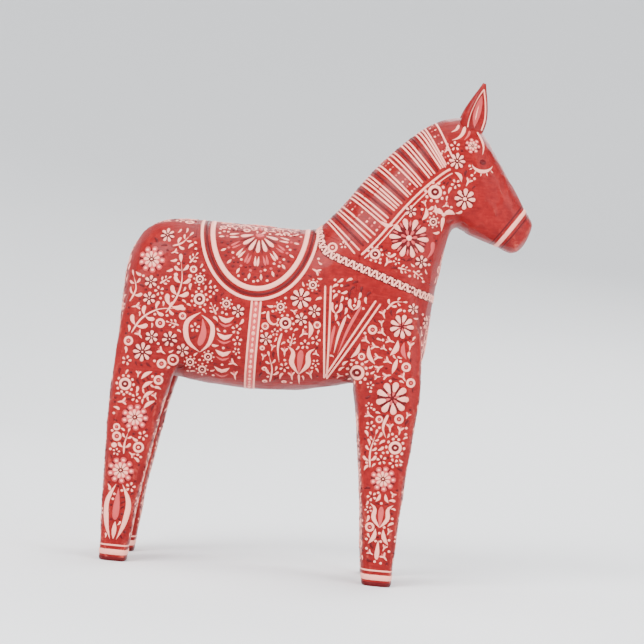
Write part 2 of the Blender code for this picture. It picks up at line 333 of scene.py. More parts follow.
def carved_form():
    """The mesh of the whole horse without its ears, with an attribute for how proud or hollow it is: its
    proud side marks edge wear, its hollow side painted shade.
    """
    bm = bmesh.new()
    loft(bm, body_rings())
    for stations in (HIND_LEG, FORE_LEG):
        for side in (1, -1):
            loft(bm, leg_rings(stations, side))
    bmesh.ops.recalc_face_normals(bm, faces=bm.faces)
    blocked = mesh_object("blocked_out", bm)
    remesh = blocked.modifiers.new("remesh", "REMESH")
    remesh.mode = "VOXEL"
    remesh.voxel_size = VOXEL * U
    mesh = evaluated_mesh(blocked)
    bpy.data.objects.remove(blocked)
    skin = Skin(mesh)
    skin.smooth(BLOCK_SMOOTHING)
    skin.store()
    flatten_facets(skin)
    skin.smooth(FACET_SMOOTHING)
    skin.points[:, 2] = np.maximum(skin.points[:, 2], 0)
    skin.store()
    relaxed = skin.points
    for _ in range(RELAX_ROUNDS):
        relaxed = relaxed + RELAX_SHARE * (skin.neighbour_mean(relaxed) - relaxed)
    # How far each point stands proud of its smoothed self: above 0 on edges, where the paint wears, and
    # below 0 in hollows, which the red paint darkens as painted shade
    proud = ((skin.points - relaxed) * skin.rows("normal")).sum(axis=1)
    exposed = mesh.attributes.new("exposed", "FLOAT", "POINT")
    exposed.data.foreach_set("value", np.clip(proud / FULLY_PROUD, -1, 1).astype(np.float32))
    return mesh


def board_cells():
    """The planes that part the form into boards, as {node: [(point, outward normal), ...]}."""
    half_gap = SEAM_GAP / 2

    def behind(x):
        return AHEAD * (x - half_gap), AHEAD

    def ahead_of(x):
        return AHEAD * (x + half_gap), -AHEAD

    def below(lift):
        return NECK_JOINT + NECK_JOINT_UP * (lift - half_gap), NECK_JOINT_UP

    def above(lift):
        return NECK_JOINT + NECK_JOINT_UP * (lift + half_gap), -NECK_JOINT_UP

    core_y = (CORE_HALF + OUTER_Y) / 2 - half_gap
    core = [(ACROSS * core_y, ACROSS), (-ACROSS * core_y, -ACROSS)]
    cells = {
        "trunk_core": [*core, below(CORE_JOINT_LIFT)],
        "neck_head_core": [*core, above(CORE_JOINT_LIFT)],
    }
    for side, side_name in SIDES:
        outer = (ACROSS * side * (core_y + 2 * half_gap), -ACROSS * side)
        cells[f"{side_name}_hind_leg_board"] = [outer, behind(HIND_SEAM_X)]
        cells[f"{side_name}_belly_board"] = [
            outer, ahead_of(HIND_SEAM_X), behind(FORE_SEAM_X), below(0),
        ]
        cells[f"{side_name}_fore_leg_board"] = [outer, ahead_of(FORE_SEAM_X), below(0)]
        cells[f"{side_name}_neck_cheek_board"] = [outer, above(0)]
    return cells


def cut_board(name, form_mesh, planes):
    """One board: the part of the form behind all the planes, closed with bare glued faces."""
    bm = bmesh.new()
    bm.from_mesh(form_mesh)
    for point, normal in planes:
        everything = bm.verts[:] + bm.edges[:] + bm.faces[:]
        cut = bmesh.ops.bisect_plane(
            bm, geom=everything, plane_co=point * U, plane_no=normal, clear_outer=True
        )
        rim = [e for e in cut["geom_cut"] if isinstance(e, bmesh.types.BMEdge)]
        for cap in bmesh.ops.holes_fill(bm, edges=rim)["faces"]:
            cap.material_index = 1
    return mesh_object(name, bm, 1, BOARD_SHARP)


def grown(node, amount):
    """A cutter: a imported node's own shape, swollen by a clearance."""
    bm = bmesh.new()
    bm.from_mesh(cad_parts[node].data)
    bmesh.ops.remove_doubles(bm, verts=bm.verts, dist=1e-6)
    bm.normal_update()
    for vert in bm.verts:
        vert.co += vert.normal * amount * U
    return mesh_object(f"cutter_{node}", bm, 1)


def boxes_meet(a, b):
    """Whether the boxes of two nodes overlap."""
    (a_low, a_high), (b_low, b_high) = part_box(a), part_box(b)
    return all(a_low[k] < b_high[k] and b_low[k] < a_high[k] for k in range(3))


def drill(boards):
    """Cuts the dowel holes and the ears' sockets into the boards."""
    inner = [n for n in sorted(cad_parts) if n.startswith("dowel_") or n.endswith("_ear")]
    cutters = {node: grown(node, DOWEL_CLEARANCE) for node in inner}
    for name, board in boards.items():
        for node, cutter in cutters.items():
            if boxes_meet(name, node):
                cut = board.modifiers.new(cutter.name, "BOOLEAN")
                cut.operation = "DIFFERENCE"
                cut.solver = "MANIFOLD"
                cut.object = cutter
    for board, finished in [(board, evaluated_mesh(board)) for board in boards.values()]:
        board.modifiers.clear()
        board.data = finished
    for cutter in cutters.values():
        bpy.data.objects.remove(cutter)


def ear_axes(side):
    """One ear's root, its axis, the way its blade's edge points and the way its face looks."""
    root, tip = (Vector((v.x, side * v.y, v.z)) for v in (EAR_ROOT, EAR_TIP))
    axis = (tip - root).normalized()
    forward = Matrix.Rotation(-side * EAR_BLADE_TURN, 3, axis) @ AHEAD
    forward = (forward - axis * forward.dot(axis)).normalized()
    return root, axis, forward, axis.cross(forward) * side


def ear_piece(side, name):
    """A whittled ear: a round peg, and a leaf-shaped blade hollowed on its outer face."""
    root, axis, forward, outward = ear_axes(side)
    blade = refined(EAR_BLADE, EAR_STEPS)
    peg_ends = ((-EAR_PEG_DEPTH, 0.6), (1 - EAR_PEG_DEPTH, 0), (blade[0][0] - 0.1, 0))
    peg = [(along, EAR_PEG_RADIUS - less, EAR_PEG_RADIUS - less) for along, less in peg_ends]
    rings = []
    for along_axis, half_length, half_width in peg + blade:
        share = min(max(along_axis / EAR_HOLLOW_LENGTH, 0), 1)
        hollow = EAR_HOLLOW_DEPTH * max(0.0, math.sin(math.pi * share)) ** 0.6
        ring = []
        for along, across in rounded_ring(EAR_RING_POINTS, EAR_SQUARENESS):
            inside = max(0.0, 1 - (along / EAR_HOLLOW_WIDTH) ** 2) if across > 0 else 0
            scoop = hollow * half_width * inside
            ring.append(
                root + axis * along_axis + forward * half_length * along
                + outward * (half_width * across - scoop)
            )
        rings.append(ring)
    bm = bmesh.new()
    loft(bm, rings)
    bmesh.ops.recalc_face_normals(bm, faces=bm.faces)
    return mesh_object(name, bm, sharp=EAR_SHARP)


# ---- The painting -----------------------------------------------------------------------------

# A stroke's cross-section runs over its top from edge to edge, as (share of the half width, share
# of the thickness), and a root point below the surface closes it
SECTION = ((-1.0, -0.35), (-0.74, 0.7), (0.0, 1.0), (0.74, 0.7), (1.0, -0.35))
POINTS_ROUND = len(SECTION) + 1
PAINT_THICKNESS = 0.34
ROOT_DEPTH = 0.45
LEVEL_STEP = 0.17
SNAP_WIDTH = 1.3
CURVE_STEPS = 12
RAY_START = 200
BAND_LOOK = 0.8
RIDGE_LOOK = 1
RIDGE_REACH = 120
RIDGE_SNAP = 20
PAINTING_SEED = 20
MANE_SEED = 41

def tree_of(mesh):
    """A search tree over a mesh, in outline units."""
    bm = bmesh.new()
    bm.from_mesh(mesh)
    bmesh.ops.scale(bm, vec=(1 / U, 1 / U, 1 / U), verts=bm.verts)
    tree = BVHTree.FromBMesh(bm)
    bm.free()
    return tree


def snapped(tree, point):
    """The nearest point of the surface."""
    return tree.find_nearest(point)[0]


def struck(tree, start, direction):
    """Where a ray first meets the surface, or None."""
    return tree.ray_cast(start, direction)[0]


def struck_from_side(tree, side, x, z):
    """Where a level ray from one side meets the surface, or None."""
    return struck(tree, Vector((x, side * RAY_START, z)), -ACROSS * side)


def struck_from_above(tree, x, y):
    """Where a ray straight down meets the surface, or None."""
    return struck(tree, Vector((x, y, HEIGHT)), -UP)


def slice_round(tree, middle, first, reach, count):
    """Where rays from all round, towards the middle of a leg or the muzzle, meet the surface."""
    points = []
    for i in range(count):
        angle = 2 * math.pi * i / count
        out = first * math.cos(angle) + ACROSS * math.sin(angle)
        points.append(struck(tree, middle + out * reach, -out))
    return points


class Flat:
    """A flat drawing pressed straight onto the surface. u and v span it, and out faces away."""

    def __init__(self, tree, origin, u, v, out, reach=250):
        self.tree, self.marks, self.reach = tree, [], reach
        self.origin = Vector(origin)
        self.u, self.v, self.out = (way.normalized() for way in (u, v, out))

    def place(self, u, v):
        """The surface point under a point of the drawing."""
        point = self.origin + self.u * u + self.v * v
        hit = struck(self.tree, point + self.out * self.reach, -self.out)
        return hit or snapped(self.tree, point)


class Track:
    """A path through points, with the distance travelled to each of them."""

    def __init__(self, points):
        self.points = np.array(points)
        gaps = np.linalg.norm(np.diff(self.points, axis=0), axis=1)
        self.travel = np.concatenate(([0], np.cumsum(gaps)))
        self.length = self.travel[-1]

    def at(self, distance):
        """The point at a distance along the path."""
        return np.array([np.interp(distance, self.travel, column) for column in self.points.T])

    def centre(self, u):
        """The same as a vector."""
        return Vector(self.at(u))


class Band(Track):
    """A strip that follows a path over the surface: u runs along the path and v across it."""

    def __init__(self, tree, path, closed=False):
        self.tree, self.marks, self.closed = tree, [], closed
        rows = [point for point in path if point is not None]
        if closed:
            smooth = refined(rows[-2:] + rows + rows[:2], CURVE_STEPS)[2 * CURVE_STEPS : -CURVE_STEPS]
        else:
            smooth = refined(rows, CURVE_STEPS)
        super().__init__([snapped(tree, Vector(row)) for row in smooth])

    def centre(self, u):
        """The path's point at a distance along it, which may be past a closed path's end."""
        return super().centre(u % self.length if self.closed else u)

    def place(self, u, v):
        """The surface point beside the path."""
        centre, normal = self.tree.find_nearest(self.centre(u))[:2]
        if abs(v) < 1e-6:
            return centre
        ahead = self.centre(u + BAND_LOOK) - self.centre(u - BAND_LOOK)
        return snapped(self.tree, centre + normal.cross(ahead).normalized() * v)


class Ridge(Track):
    """A strip that lies over a crest: u runs along it, and v down its left (+) or right (-)."""

    def __init__(self, tree, crest, turn_radius):
        self.tree, self.marks, self.radius = tree, [], turn_radius
        self.quarter = turn_radius * math.pi / 2
        super().__init__(refined([(x, 0, z) for x, z in crest], CURVE_STEPS))

    def depth_to_v(self, depth):
        """How far round the strip a depth below the crest lies, as it is seen from the side."""
        return self.quarter + depth - self.radius

    def place(self, u, v):
        """The surface point at a place on the strip."""
        ahead = self.centre(u + RIDGE_LOOK) - self.centre(u - RIDGE_LOOK)
        inward = ACROSS.cross(ahead.normalized())
        angle = min(abs(v), self.quarter) / self.radius
        straight = max(abs(v) - self.quarter, 0)
        centre = self.centre(u) + inward * (self.radius + straight)
        out = -inward * math.cos(angle) + ACROSS * math.copysign(1, v) * math.sin(angle)
        hit = struck(self.tree, centre + out * RIDGE_REACH, -out)
        return hit or snapped(self.tree, centre + out * RIDGE_SNAP)


def taper(kind, share, length, half_width):
    """(how far along, share of the half width) of a stroke, from its start at 0 to its end at 1."""
    along = (1 - math.cos(math.pi * share)) / 2
    bulge = math.sin(math.pi * share)
    if kind == "petal":
        width = bulge * (0.26 + 0.74 * along) / 0.8
    elif kind == "comma":
        width = bulge**0.8 * (1 - 0.82 * along) / 0.68
    elif kind == "leaf":
        width = math.sin(math.pi * along) ** 0.9
    elif kind == "line":
        nearest_end = min(along, 1 - along) * length
        width = math.sqrt(max(0.0, 1 - max(0.0, 1 - nearest_end / half_width) ** 2))
    else:
        width = bulge
    return along, max(width, 0.06)


def polar(centre, radius, angle, squash=1.0):
    """A point at a distance from a centre, with its first coordinate drawn in or out."""
    u, v = centre
    return (u + squash * radius * math.cos(angle), v + radius * math.sin(angle))


def steps_along(length):
    """How many steps a stroke is drawn in."""
    if length < 5:
        return 6
    if length < 14:
        return 8
    return int(min(70, 8 + length / 2.4))


class Painting:
    """The brush strokes, gathered in one mesh for each place and colour."""

    def __init__(self, seed):
        self.batches = defaultdict(lambda: {"points": [], "faces": [], "tone": [], "drag": []})
        self.rng = random.Random(seed)

    def ribbon(self, batch_name, tree, spots, level, closed=False):
        """One stroke: a low rounded bead over (surface point, half width, drag) spots."""
        batch = self.batches[batch_name]
        base, count = len(batch["points"]), len(spots)
        tone = self.rng.random()
        thickness = PAINT_THICKNESS * (0.86 + 0.28 * self.rng.random())
        for i, (centre, half_width, drag) in enumerate(spots):
            before = spots[i - 1][0] if closed or i else centre
            after = spots[(i + 1) % count][0] if closed or i + 1 < count else centre
            normal = tree.find_nearest(centre)[1]
            side = normal.cross(after - before).normalized()
            height = thickness * min(1.0, 0.45 + half_width * 0.6)
            for across, up in SECTION:
                point, direction = centre + side * across * half_width, normal
                if half_width > SNAP_WIDTH and across:
                    point, direction = tree.find_nearest(point)[:2]
                batch["points"].append(point + direction * (up * height + level * LEVEL_STEP))
            batch["points"].append(centre - normal * ROOT_DEPTH)
            batch["tone"] += [tone] * POINTS_ROUND
            batch["drag"] += [drag] * POINTS_ROUND
        rings = [range(base + POINTS_ROUND * i, base + POINTS_ROUND * (i + 1)) for i in range(count)]
        if closed:
            rings.append(rings[0])
        else:
            batch["faces"] += [tuple(rings[0]), tuple(reversed(rings[-1]))]
        for a, b in zip(rings, rings[1:]):
            for k in range(POINTS_ROUND):
                following = (k + 1) % POINTS_ROUND
                batch["faces"].append((a[k], b[k], b[following], a[following]))

    def show(self):
        """Makes the objects, one for each batch."""
        for (place, colour), batch in sorted(self.batches.items()):
            name = f"paint_{place}_{colour}"
            mesh = bpy.data.meshes.new(name)
            mesh.from_pydata([p * U for p in batch["points"]], [], batch["faces"])
            mesh.shade_smooth()
            for attribute in ("tone", "drag"):
                layer = mesh.attributes.new(attribute, "FLOAT", "POINT")
                layer.data.foreach_set("value", batch[attribute])
            mesh.materials.append(FINISHES[colour])
            obj = linked(name, mesh)
            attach(obj, "root")


class Brush:
    """Draws on one strip or flat of the surface, for one place's pieces."""

    def __init__(self, painting, patch, place):
        self.painting, self.patch, self.place = painting, patch, place

    def stroke(self, points, half_width, kind="leaf", colour="cream", level=0):
        """One brush stroke along a smooth curve through points of the patch."""
        track = Track(refined(points, 8 if len(points) > 2 else 1))
        length = track.length
        steps = steps_along(length)
        spots = []
        for i in range(steps + 1):
            along, share = taper(kind, i / steps, length, half_width)
            u, v = track.at(along * length)
            spots.append((self.patch.place(u, v), half_width * share, along))
            self.patch.marks.append((u, v, half_width * share))
        self.painting.ribbon((self.place, colour), self.patch.tree, spots, level)

    def loop(self, points, half_width, colour="cream", level=0):
        """A closed line through points of the patch."""
        spots = [(self.patch.place(u, v), half_width, 0.5) for u, v in points]
        self.patch.marks += [(u, v, half_width) for u, v in points]
        self.painting.ribbon((self.place, colour), self.patch.tree, spots, level, closed=True)

    def all_round(self, spacing, half_width, colour="cream", level=0, offset=0):
        """A closed line along the whole of a closed band."""
        steps = int(self.patch.length / spacing)
        points = [(self.patch.length * i / steps, offset) for i in range(steps)]
        self.loop(points, half_width, colour, level)

    def dot(self, centre, radius, colour="cream", level=0):
        """A round dab."""
        u, v = centre
        self.stroke([(u - radius, v), (u + radius, v)], radius, "dot", colour, level)

    def ring(self, centre, radius, half_width, level=0):
        """A small closed ring."""
        count = max(12, int(radius * 4))
        points = [polar(centre, radius, 2 * math.pi * i / count) for i in range(count)]
        self.loop(points, half_width, level=level)

    def rays(self, centre, inner, outer, count, half_width, start=0, sweep=360, kind="petal", **how):
        """Petals round a centre, from one radius to another."""
        for i in range(count):
            angle = math.radians(start + sweep * i / (count if sweep == 360 else count - 1))
            ends = [polar(centre, radius, angle) for radius in (inner, outer)]
            self.stroke(ends, half_width, kind, **how)

    def daisy(self, centre, ground, inner, outer, petals, half_width):
        """A large open flower on a dark ground, but for its heart."""
        self.dot(centre, ground, "deep")
        self.rays(centre, inner, outer, petals, half_width, level=1)

    def flower(self, centre, radius, petals=7):
        """An open flower with round petals on a dark ground."""
        self.dot(centre, radius * 0.98, "deep")
        width = min(math.pi * radius * 0.6 / petals, radius * 0.34)
        self.rays(centre, radius * 0.26, radius, petals, width, start=90, level=1)
        self.dot(centre, radius * 0.27, "deep", level=2)
        self.dot(centre, radius * 0.11, level=3)

    def rosette(self, centre, radius, petals=8):
        """A double flower: broad pink petals, cream ones on them and a dark eye."""
        self.dot(centre, radius * 0.95, "deep")
        half = math.pi * radius * 0.78 / petals
        self.rays(centre, radius * 0.34, radius, petals, half, colour="rose", level=1)
        for i in range(petals):
            self.dot(polar(centre, radius * 0.78, math.radians(360 * i / petals)), half * 0.42, level=2)
        self.rays(centre, radius * 0.14, radius * 0.6, petals, half * 0.52, start=180 / petals, level=3)
        self.dot(centre, radius * 0.19, "deep", level=4)
        self.dot(centre, radius * 0.08, level=5)

    def ring_flower(self, centre, radius, petals=9):
        """A ring with an eye, and short petals round it."""
        self.dot(centre, radius * 0.42, "deep")
        self.ring(centre, radius * 0.5, max(0.75, radius * 0.15), level=1)
        self.dot(centre, radius * 0.14, level=1)
        self.rays(centre, radius * 0.74, radius, petals, max(0.7, radius * 0.16), kind="dot")

    def leaf(self, start, end, half_width, bend=0.0, colour="cream", level=0, kind="leaf"):
        """A bent leaf from its stalk to its tip."""
        (a, b), (c, d) = start, end
        middle = ((a + c) / 2 - (d - b) * bend, (b + d) / 2 + (c - a) * bend)
        self.stroke([start, middle, end], half_width, kind, colour, level)

    def spray(self, points, pairs, size):
        """A curved stem with pairs of leaves that get smaller towards its tip."""
        self.stroke(points, 0.75, "comma")
        track = Track(refined(points, 10))
        for i in range(pairs):
            share = (i + 0.6) / (pairs + 0.3)
            here, ahead = (track.at(track.length * s) for s in (share, share + 0.03))
            heading = math.atan2(*(ahead - here)[::-1])
            reach = size * (1 - 0.45 * share)
            for side in (1, -1):
                angle = heading + side * math.radians(50)
                way = np.array((math.cos(angle), math.sin(angle)))
                self.leaf(here + way * 0.9, here + way * reach, reach * 0.23, side * 0.14, kind="petal")
        end, before = track.points[-1], track.points[-3]
        way = (end - before) / np.linalg.norm(end - before)
        self.leaf(end, end + way * size * 0.6, size * 0.16, kind="petal")

    def tulip(self, base, angle, size):
        """A tulip: two curved outer petals and one in the middle."""
        heading = math.radians(angle)
        way = Vector((math.cos(heading), math.sin(heading)))
        side = Vector((-way.y, way.x))
        foot = Vector(base)
        self.leaf(foot, foot + way * size * 0.92, size * 0.15, colour="rose", kind="petal")
        for turn in (1, -1):
            bends = ((0, 0), (0.4, 0.3), (0.8, 0.28), (1.02, 0.5))
            path = [foot + way * size * up + side * turn * size * out for up, out in bends]
            self.stroke(path, size * 0.105)

    def curl(self, start, angle, size, turn=1, half_width=1.0):
        """A stroke that rolls up at its end."""
        points = [Vector(start)]
        heading = math.radians(angle)
        for i in range(9):
            heading += turn * (0.12 + 0.085 * i)
            step = size * (0.24 - 0.017 * i)
            points.append(points[-1] + Vector((math.cos(heading), math.sin(heading))) * step)
        self.stroke(points, half_width, "comma")


# ---- Finishes ---------------------------------------------------------------------------------

RED = (0.215, 0.0038, 0.0046)
RED_DARK = (0.105, 0.0014, 0.0026)
RED_LIGHT = (0.30, 0.0105, 0.0100)
RED_WORN = (0.52, 0.070, 0.050)
CREAM = (0.95, 0.40, 0.31)
CREAM_THIN = (0.80, 0.21, 0.165)
ROSE = (0.52, 0.064, 0.064)
ROSE_THIN = (0.44, 0.044, 0.045)
DEEP = (0.075, 0.0012, 0.0030)
DEEP_THIN = (0.115, 0.0024, 0.0040)
PINE = (0.80, 0.55, 0.31)
PINE_LATE = (0.60, 0.34, 0.15)
BIRCH = (0.84, 0.66, 0.44)
BIRCH_LATE = (0.70, 0.49, 0.28)


class Finish:
    """A material being put together from nodes."""

    def __init__(self, name, gloss=0.5, coat=0.0):
        self.material = bpy.data.materials.new(name)
        self.material.use_nodes = True
        self.tree = self.material.node_tree
        self.shader = self.tree.nodes["Principled BSDF"]
        self.shader.inputs["Specular IOR Level"].default_value = gloss
        self.shader.inputs["Coat Weight"].default_value = coat
        self.shader.inputs["Coat Roughness"].default_value = 0.22

    def node(self, kind, inputs=(), **settings):
        """Adds a node. Inputs are (socket, value or output to link) pairs."""
        node = self.tree.nodes.new(kind)
        for setting, value in settings.items():
            setattr(node, setting, value)
        for socket, value in inputs:
            self.feed(node, socket, value)
        return node

    def feed(self, node, socket, value):
        """Gives a node's input a value, or links it to another node's output."""
        if isinstance(value, bpy.types.NodeSocket):
            self.tree.links.new(value, node.inputs[socket])
        elif isinstance(value, tuple) and len(value) == 3 and node.inputs[socket].type == "RGBA":
            node.inputs[socket].default_value = (*value, 1)
        else:
            node.inputs[socket].default_value = value

    def place(self, stretch=(1, 1, 1), turn=0.0):
        """Where a point is on the horse, turned about the Y axis and stretched."""
        here = self.node("ShaderNodeTexCoord").outputs["Object"]
        inputs = [("Vector", here), ("Rotation", (0, turn, 0)), ("Scale", stretch)]
        return self.node("ShaderNodeMapping", inputs).outputs["Vector"]

    def noise(self, place, scale, detail=3.0, roughness=0.55):
        """Smooth noise from 0 to 1."""
        inputs = [("Vector", place), ("Scale", scale), ("Detail", detail), ("Roughness", roughness)]
        return self.node("ShaderNodeTexNoise", inputs).outputs["Fac"]

    def spread(self, value, low, high, to_low=0.0, to_high=1.0):
        """Stretches a span of a value to another span."""
        spans = (("From Min", low), ("From Max", high), ("To Min", to_low), ("To Max", to_high))
        return self.node("ShaderNodeMapRange", [("Value", value), *spans]).outputs["Result"]

    def mix(self, share, a, b):
        """A mix of two colours."""
        node = self.node("ShaderNodeMix", data_type="RGBA")
        for socket, value in ((0, share), (6, a), (7, b)):
            self.feed(node, socket, value)
        return node.outputs[2]

    def layered(self, colour, layers):
        """Lays tints over a colour, each (value, where it starts, where it ends, share, tint)."""
        for value, start, end, share, tint in layers:
            colour = self.mix(self.spread(value, start, end, 0.0, share), colour, tint)
        return colour

    def value(self, operation, a, b):
        """Two values combined."""
        return self.node("ShaderNodeMath", [(0, a), (1, b)], operation=operation).outputs["Value"]

    def attribute(self, name):
        """A value that the mesh holds for each point."""
        return self.node("ShaderNodeAttribute", attribute_name=name).outputs["Fac"]

    def finish(self, colour, roughness, height, depth):
        """Links the shader up. depth is the bump's depth in metres."""
        bump = self.node("ShaderNodeBump", [("Height", height), ("Distance", depth)])
        looks = (("Base Color", colour), ("Roughness", roughness), ("Normal", bump.outputs["Normal"]))
        for socket, value in looks:
            self.feed(self.shader, socket, value)
        return self.material


def red_paint(name, grain_turn):
    """Satin red paint on pine, brushed on, worn through a little on its edges, with painted shade
    darkening its hollows.
    """
    paint = Finish(name, gloss=0.14, coat=0.03)
    broad = paint.noise(paint.place(), 16, 2)
    brush = paint.noise(paint.place((1.0, 14.0, 14.0), 0.35), 55, 4, 0.6)
    grain = paint.noise(paint.place((1.0, 16.0, 16.0), grain_turn), 26, 3, 0.5)
    mottle = paint.noise(paint.place(), 210, 3, 0.6)
    speck = paint.noise(paint.place(), 420, 2, 0.6)
    exposed = paint.attribute("exposed")
    layers = (
        (broad, 0.35, 0.75, 0.6, RED_DARK),
        (mottle, 0.5, 0.72, 0.6, RED_DARK),
        (mottle, 0.46, 0.3, 0.5, RED_LIGHT),
        (brush, 0.45, 0.8, 0.55, RED_LIGHT),
        (speck, 0.55, 0.8, 0.35, RED_DARK),
        # painted shade: the hollows are darkened towards a deeper red
        (exposed, -0.12, -0.7, 0.7, RED_DARK),
    )
    colour = paint.layered(RED, layers)
    wear = paint.value("MULTIPLY", paint.spread(exposed, 0.3, 0.95), paint.spread(speck, 0.4, 0.62))
    colour = paint.mix(wear, colour, RED_WORN)
    height = paint.value("ADD", brush, paint.value("MULTIPLY", grain, 0.8))
    return paint.finish(colour, paint.spread(brush, 0.3, 0.75, 0.36, 0.52), height, 0.00022)


def stroke_paint(name, full, thin):
    """Thick ornamental paint: it thins and drags at the end of each stroke."""
    paint = Finish(name, gloss=0.16, coat=0.02)
    fine = paint.noise(paint.place(), 900, 3, 0.6)
    soft = paint.noise(paint.place(), 160, 2)
    drag = paint.spread(paint.attribute("drag"), 0.45, 1.0, 0.1, 0.9)
    thinned = paint.value("MULTIPLY", drag, paint.spread(fine, 0.35, 0.65))
    layers = ((paint.attribute("tone"), 0.0, 1.0, 0.3, thin),)
    colour = paint.layered(paint.mix(thinned, full, thin), layers)
    height = paint.value("ADD", fine, soft)
    return paint.finish(colour, paint.spread(soft, 0.3, 0.7, 0.38, 0.5), height, 0.00012)


def bare_wood(name, early, late, grain_turn, ring_scale):
    """Sawn and sanded wood with growth rings that run along its grain."""
    wood = Finish(name)
    wobble = wood.noise(wood.place((0.35, 7.0, 7.0), grain_turn), 4, 2)
    rings = wood.value("PINGPONG", wood.value("MULTIPLY", wobble, ring_scale), 1.0)
    fibre = wood.noise(wood.place((1.0, 24.0, 24.0), grain_turn), 60, 4, 0.65)
    colour = wood.layered(early, ((rings, 0.45, 1.0, 0.8, late), (fibre, 0.5, 0.8, 0.4, late)))
    height = wood.value("ADD", rings, fibre)
    return wood.finish(colour, wood.spread(fibre, 0.3, 0.7, 0.55, 0.7), height, 0.0001)


GRAIN_TURNS = {"level": 0.0, "upright": math.radians(90), "sloped": math.radians(52)}
FINISHES = {
    "cream": stroke_paint("cream_stroke_paint", CREAM, CREAM_THIN),
    "rose": stroke_paint("rose_stroke_paint", ROSE, ROSE_THIN),
    "deep": stroke_paint("deep_red_stroke_paint", DEEP, DEEP_THIN),
    "birch": bare_wood("birch_dowel", BIRCH, BIRCH_LATE, GRAIN_TURNS["level"], 9),
}
for grain, turn in GRAIN_TURNS.items():
    FINISHES[f"red_{grain}"] = red_paint(f"red_paint_{grain}_grain", turn)
    FINISHES[f"pine_{grain}"] = bare_wood(f"pine_{grain}_grain", PINE, PINE_LATE, turn, 14)


# ---- The ornament -----------------------------------------------------------------------------

SADDLE = (-55.0, 271.0)
SADDLE_OUTER = (45.5, 58.0)
SADDLE_INNER = (37.2, 49.7)
SADDLE_CLEAR = (49.0, 61.5)
SADDLE_TOP = 268.5
SADDLE_BRIDGE = 25
SADDLE_BRIDGE_STEPS = 10
GIRTH_X = -52
NOSEBAND = ((149.5, 300.5), (129.5, 271.0))
# The collar's path down one side, and the line in the side view that is kept clear for it
COLLAR_PATH = ((-8, 268), (-6.5, 262), (0, 254), (20, 247), (42, 240), (64, 233), (78, 228.5))
COLLAR_CLEAR = ((-8, 268), (0, 254), (20, 247), (42, 240), (64, 233), (84, 227))
MANE_DEPTH = 38.0
MANE_SPACING = 3.1
FAN_BASE = (7.0, 157.0)
FAN_TIPS = ((2.0, 229.0), (42.0, 220.0))
FILL_SIZES = (5.0, 3.9, 3.0, 2.3, 1.7, 1.2)
FILL_GAP = 0.72
FILL_GRID = 0.8


def arc(centre, half_sizes, start, end, count):
    """Points along part of an ellipse, in degrees from its right end."""
    (u, v), (half_u, half_v) = centre, half_sizes
    angles = [math.radians(start + (end - start) * i / (count - 1)) for i in range(count)]
    return [(u + half_u * math.cos(a), v + half_v * math.sin(a)) for a in angles]


def depth_inside(polygon, points):
    """How far inside a polygon each point lies, below 0 outside."""
    inside = np.zeros(len(points), bool)
    nearest = np.full(len(points), 1e9)
    corners = np.array(polygon)
    for a, b in zip(corners, np.roll(corners, -1, axis=0)):
        span = b - a
        share = np.clip(((points - a) @ span) / (span @ span), 0, 1)[:, None]
        nearest = np.minimum(nearest, np.linalg.norm(points - a - share * span, axis=1))
        crosses = (a[1] > points[:, 1]) != (b[1] > points[:, 1])
        rise = np.where(span[1] == 0, 1e-9, span[1])
        inside ^= crosses & (points[:, 0] < a[0] + span[0] * (points[:, 1] - a[1]) / rise)
    return np.where(inside, nearest, -nearest)


def small_motif(brush, rng, centre, radius, lean):
    """One of the little motifs that fill the ground, to fit a circle."""
    pick = rng.random()
    middle = Vector(centre)
    way = Vector((math.cos(lean), math.sin(lean)))
    if radius > 4.2:
        if pick < 0.4:
            brush.flower(centre, radius, 6)
        elif pick < 0.7:
            brush.ring_flower(centre, radius, 8)
        else:
            way *= radius
            brush.spray([middle - way, middle + way * 0.1, middle + way * 0.5], 2, radius * 0.95)
    elif radius > 2.5:
        if pick < 0.3:
            brush.rays(centre, radius * 0.35, radius, 5, radius * 0.3, start=math.degrees(lean))
            brush.dot(centre, radius * 0.2, "deep")
        elif pick < 0.5:
            brush.ring(centre, radius * 0.72, radius * 0.26)
            brush.dot(centre, radius * 0.26, "rose")
        else:
            side = Vector((-way.y, way.x))
            foot = middle - way * radius * 0.95
            for turn in (-1, 1):
                tip = middle + way * radius * 0.75 + side * turn * radius * 0.7
                brush.leaf(foot, tip, radius * 0.26, bend=-turn * 0.2, kind="petal")
            brush.leaf(foot + way * radius, middle + way * radius, radius * 0.2, colour="rose")
    elif radius > 1.5:
        way = way * radius * 1.15
        bend = 0.12 if pick < 0.6 else -0.12
        colour = "deep" if pick < 0.34 else "cream"
        brush.leaf(middle - way, middle + way, radius * 0.58, bend, colour, kind="petal")
    else:
        brush.dot(centre, radius * 0.9, "deep" if pick < 0.45 else "cream")


def fill(brush, polygon, seed, largest, gap=FILL_GAP):
    """Packs little motifs between the marks already painted inside a polygon."""
    rng = random.Random(seed)
    corners = np.array(polygon)
    low, high = corners.min(axis=0), corners.max(axis=0)
    grid = np.meshgrid(*(np.arange(low[k], high[k], FILL_GRID) for k in (0, 1)))
    points = np.stack([part.ravel() for part in grid], axis=1)
    room = depth_inside(polygon, points)
    points, room = points[room > FILL_SIZES[-1]], room[room > FILL_SIZES[-1]]
    marks = np.array(brush.patch.marks)
    margin = largest + 2
    near = (marks[:, :2] > low - margin) & (marks[:, :2] < high + margin)
    for *place, radius in marks[near.all(axis=1)]:
        room = np.minimum(room, np.hypot(*(points - place).T) - radius)
    for size in FILL_SIZES:
        while size <= largest:
            fits = np.flatnonzero(room > size + gap)
            if not len(fits):
                break
            u, v = centre = tuple(points[fits[np.argmin(room[fits])]])
            lean = 1.2 * math.sin(u / 21) + 1.4 * math.cos(v / 26) + rng.uniform(0.6, 1.6)
            small_motif(brush, rng, centre, size, lean)
            room = np.minimum(room, np.hypot(*(points - centre).T) - size)


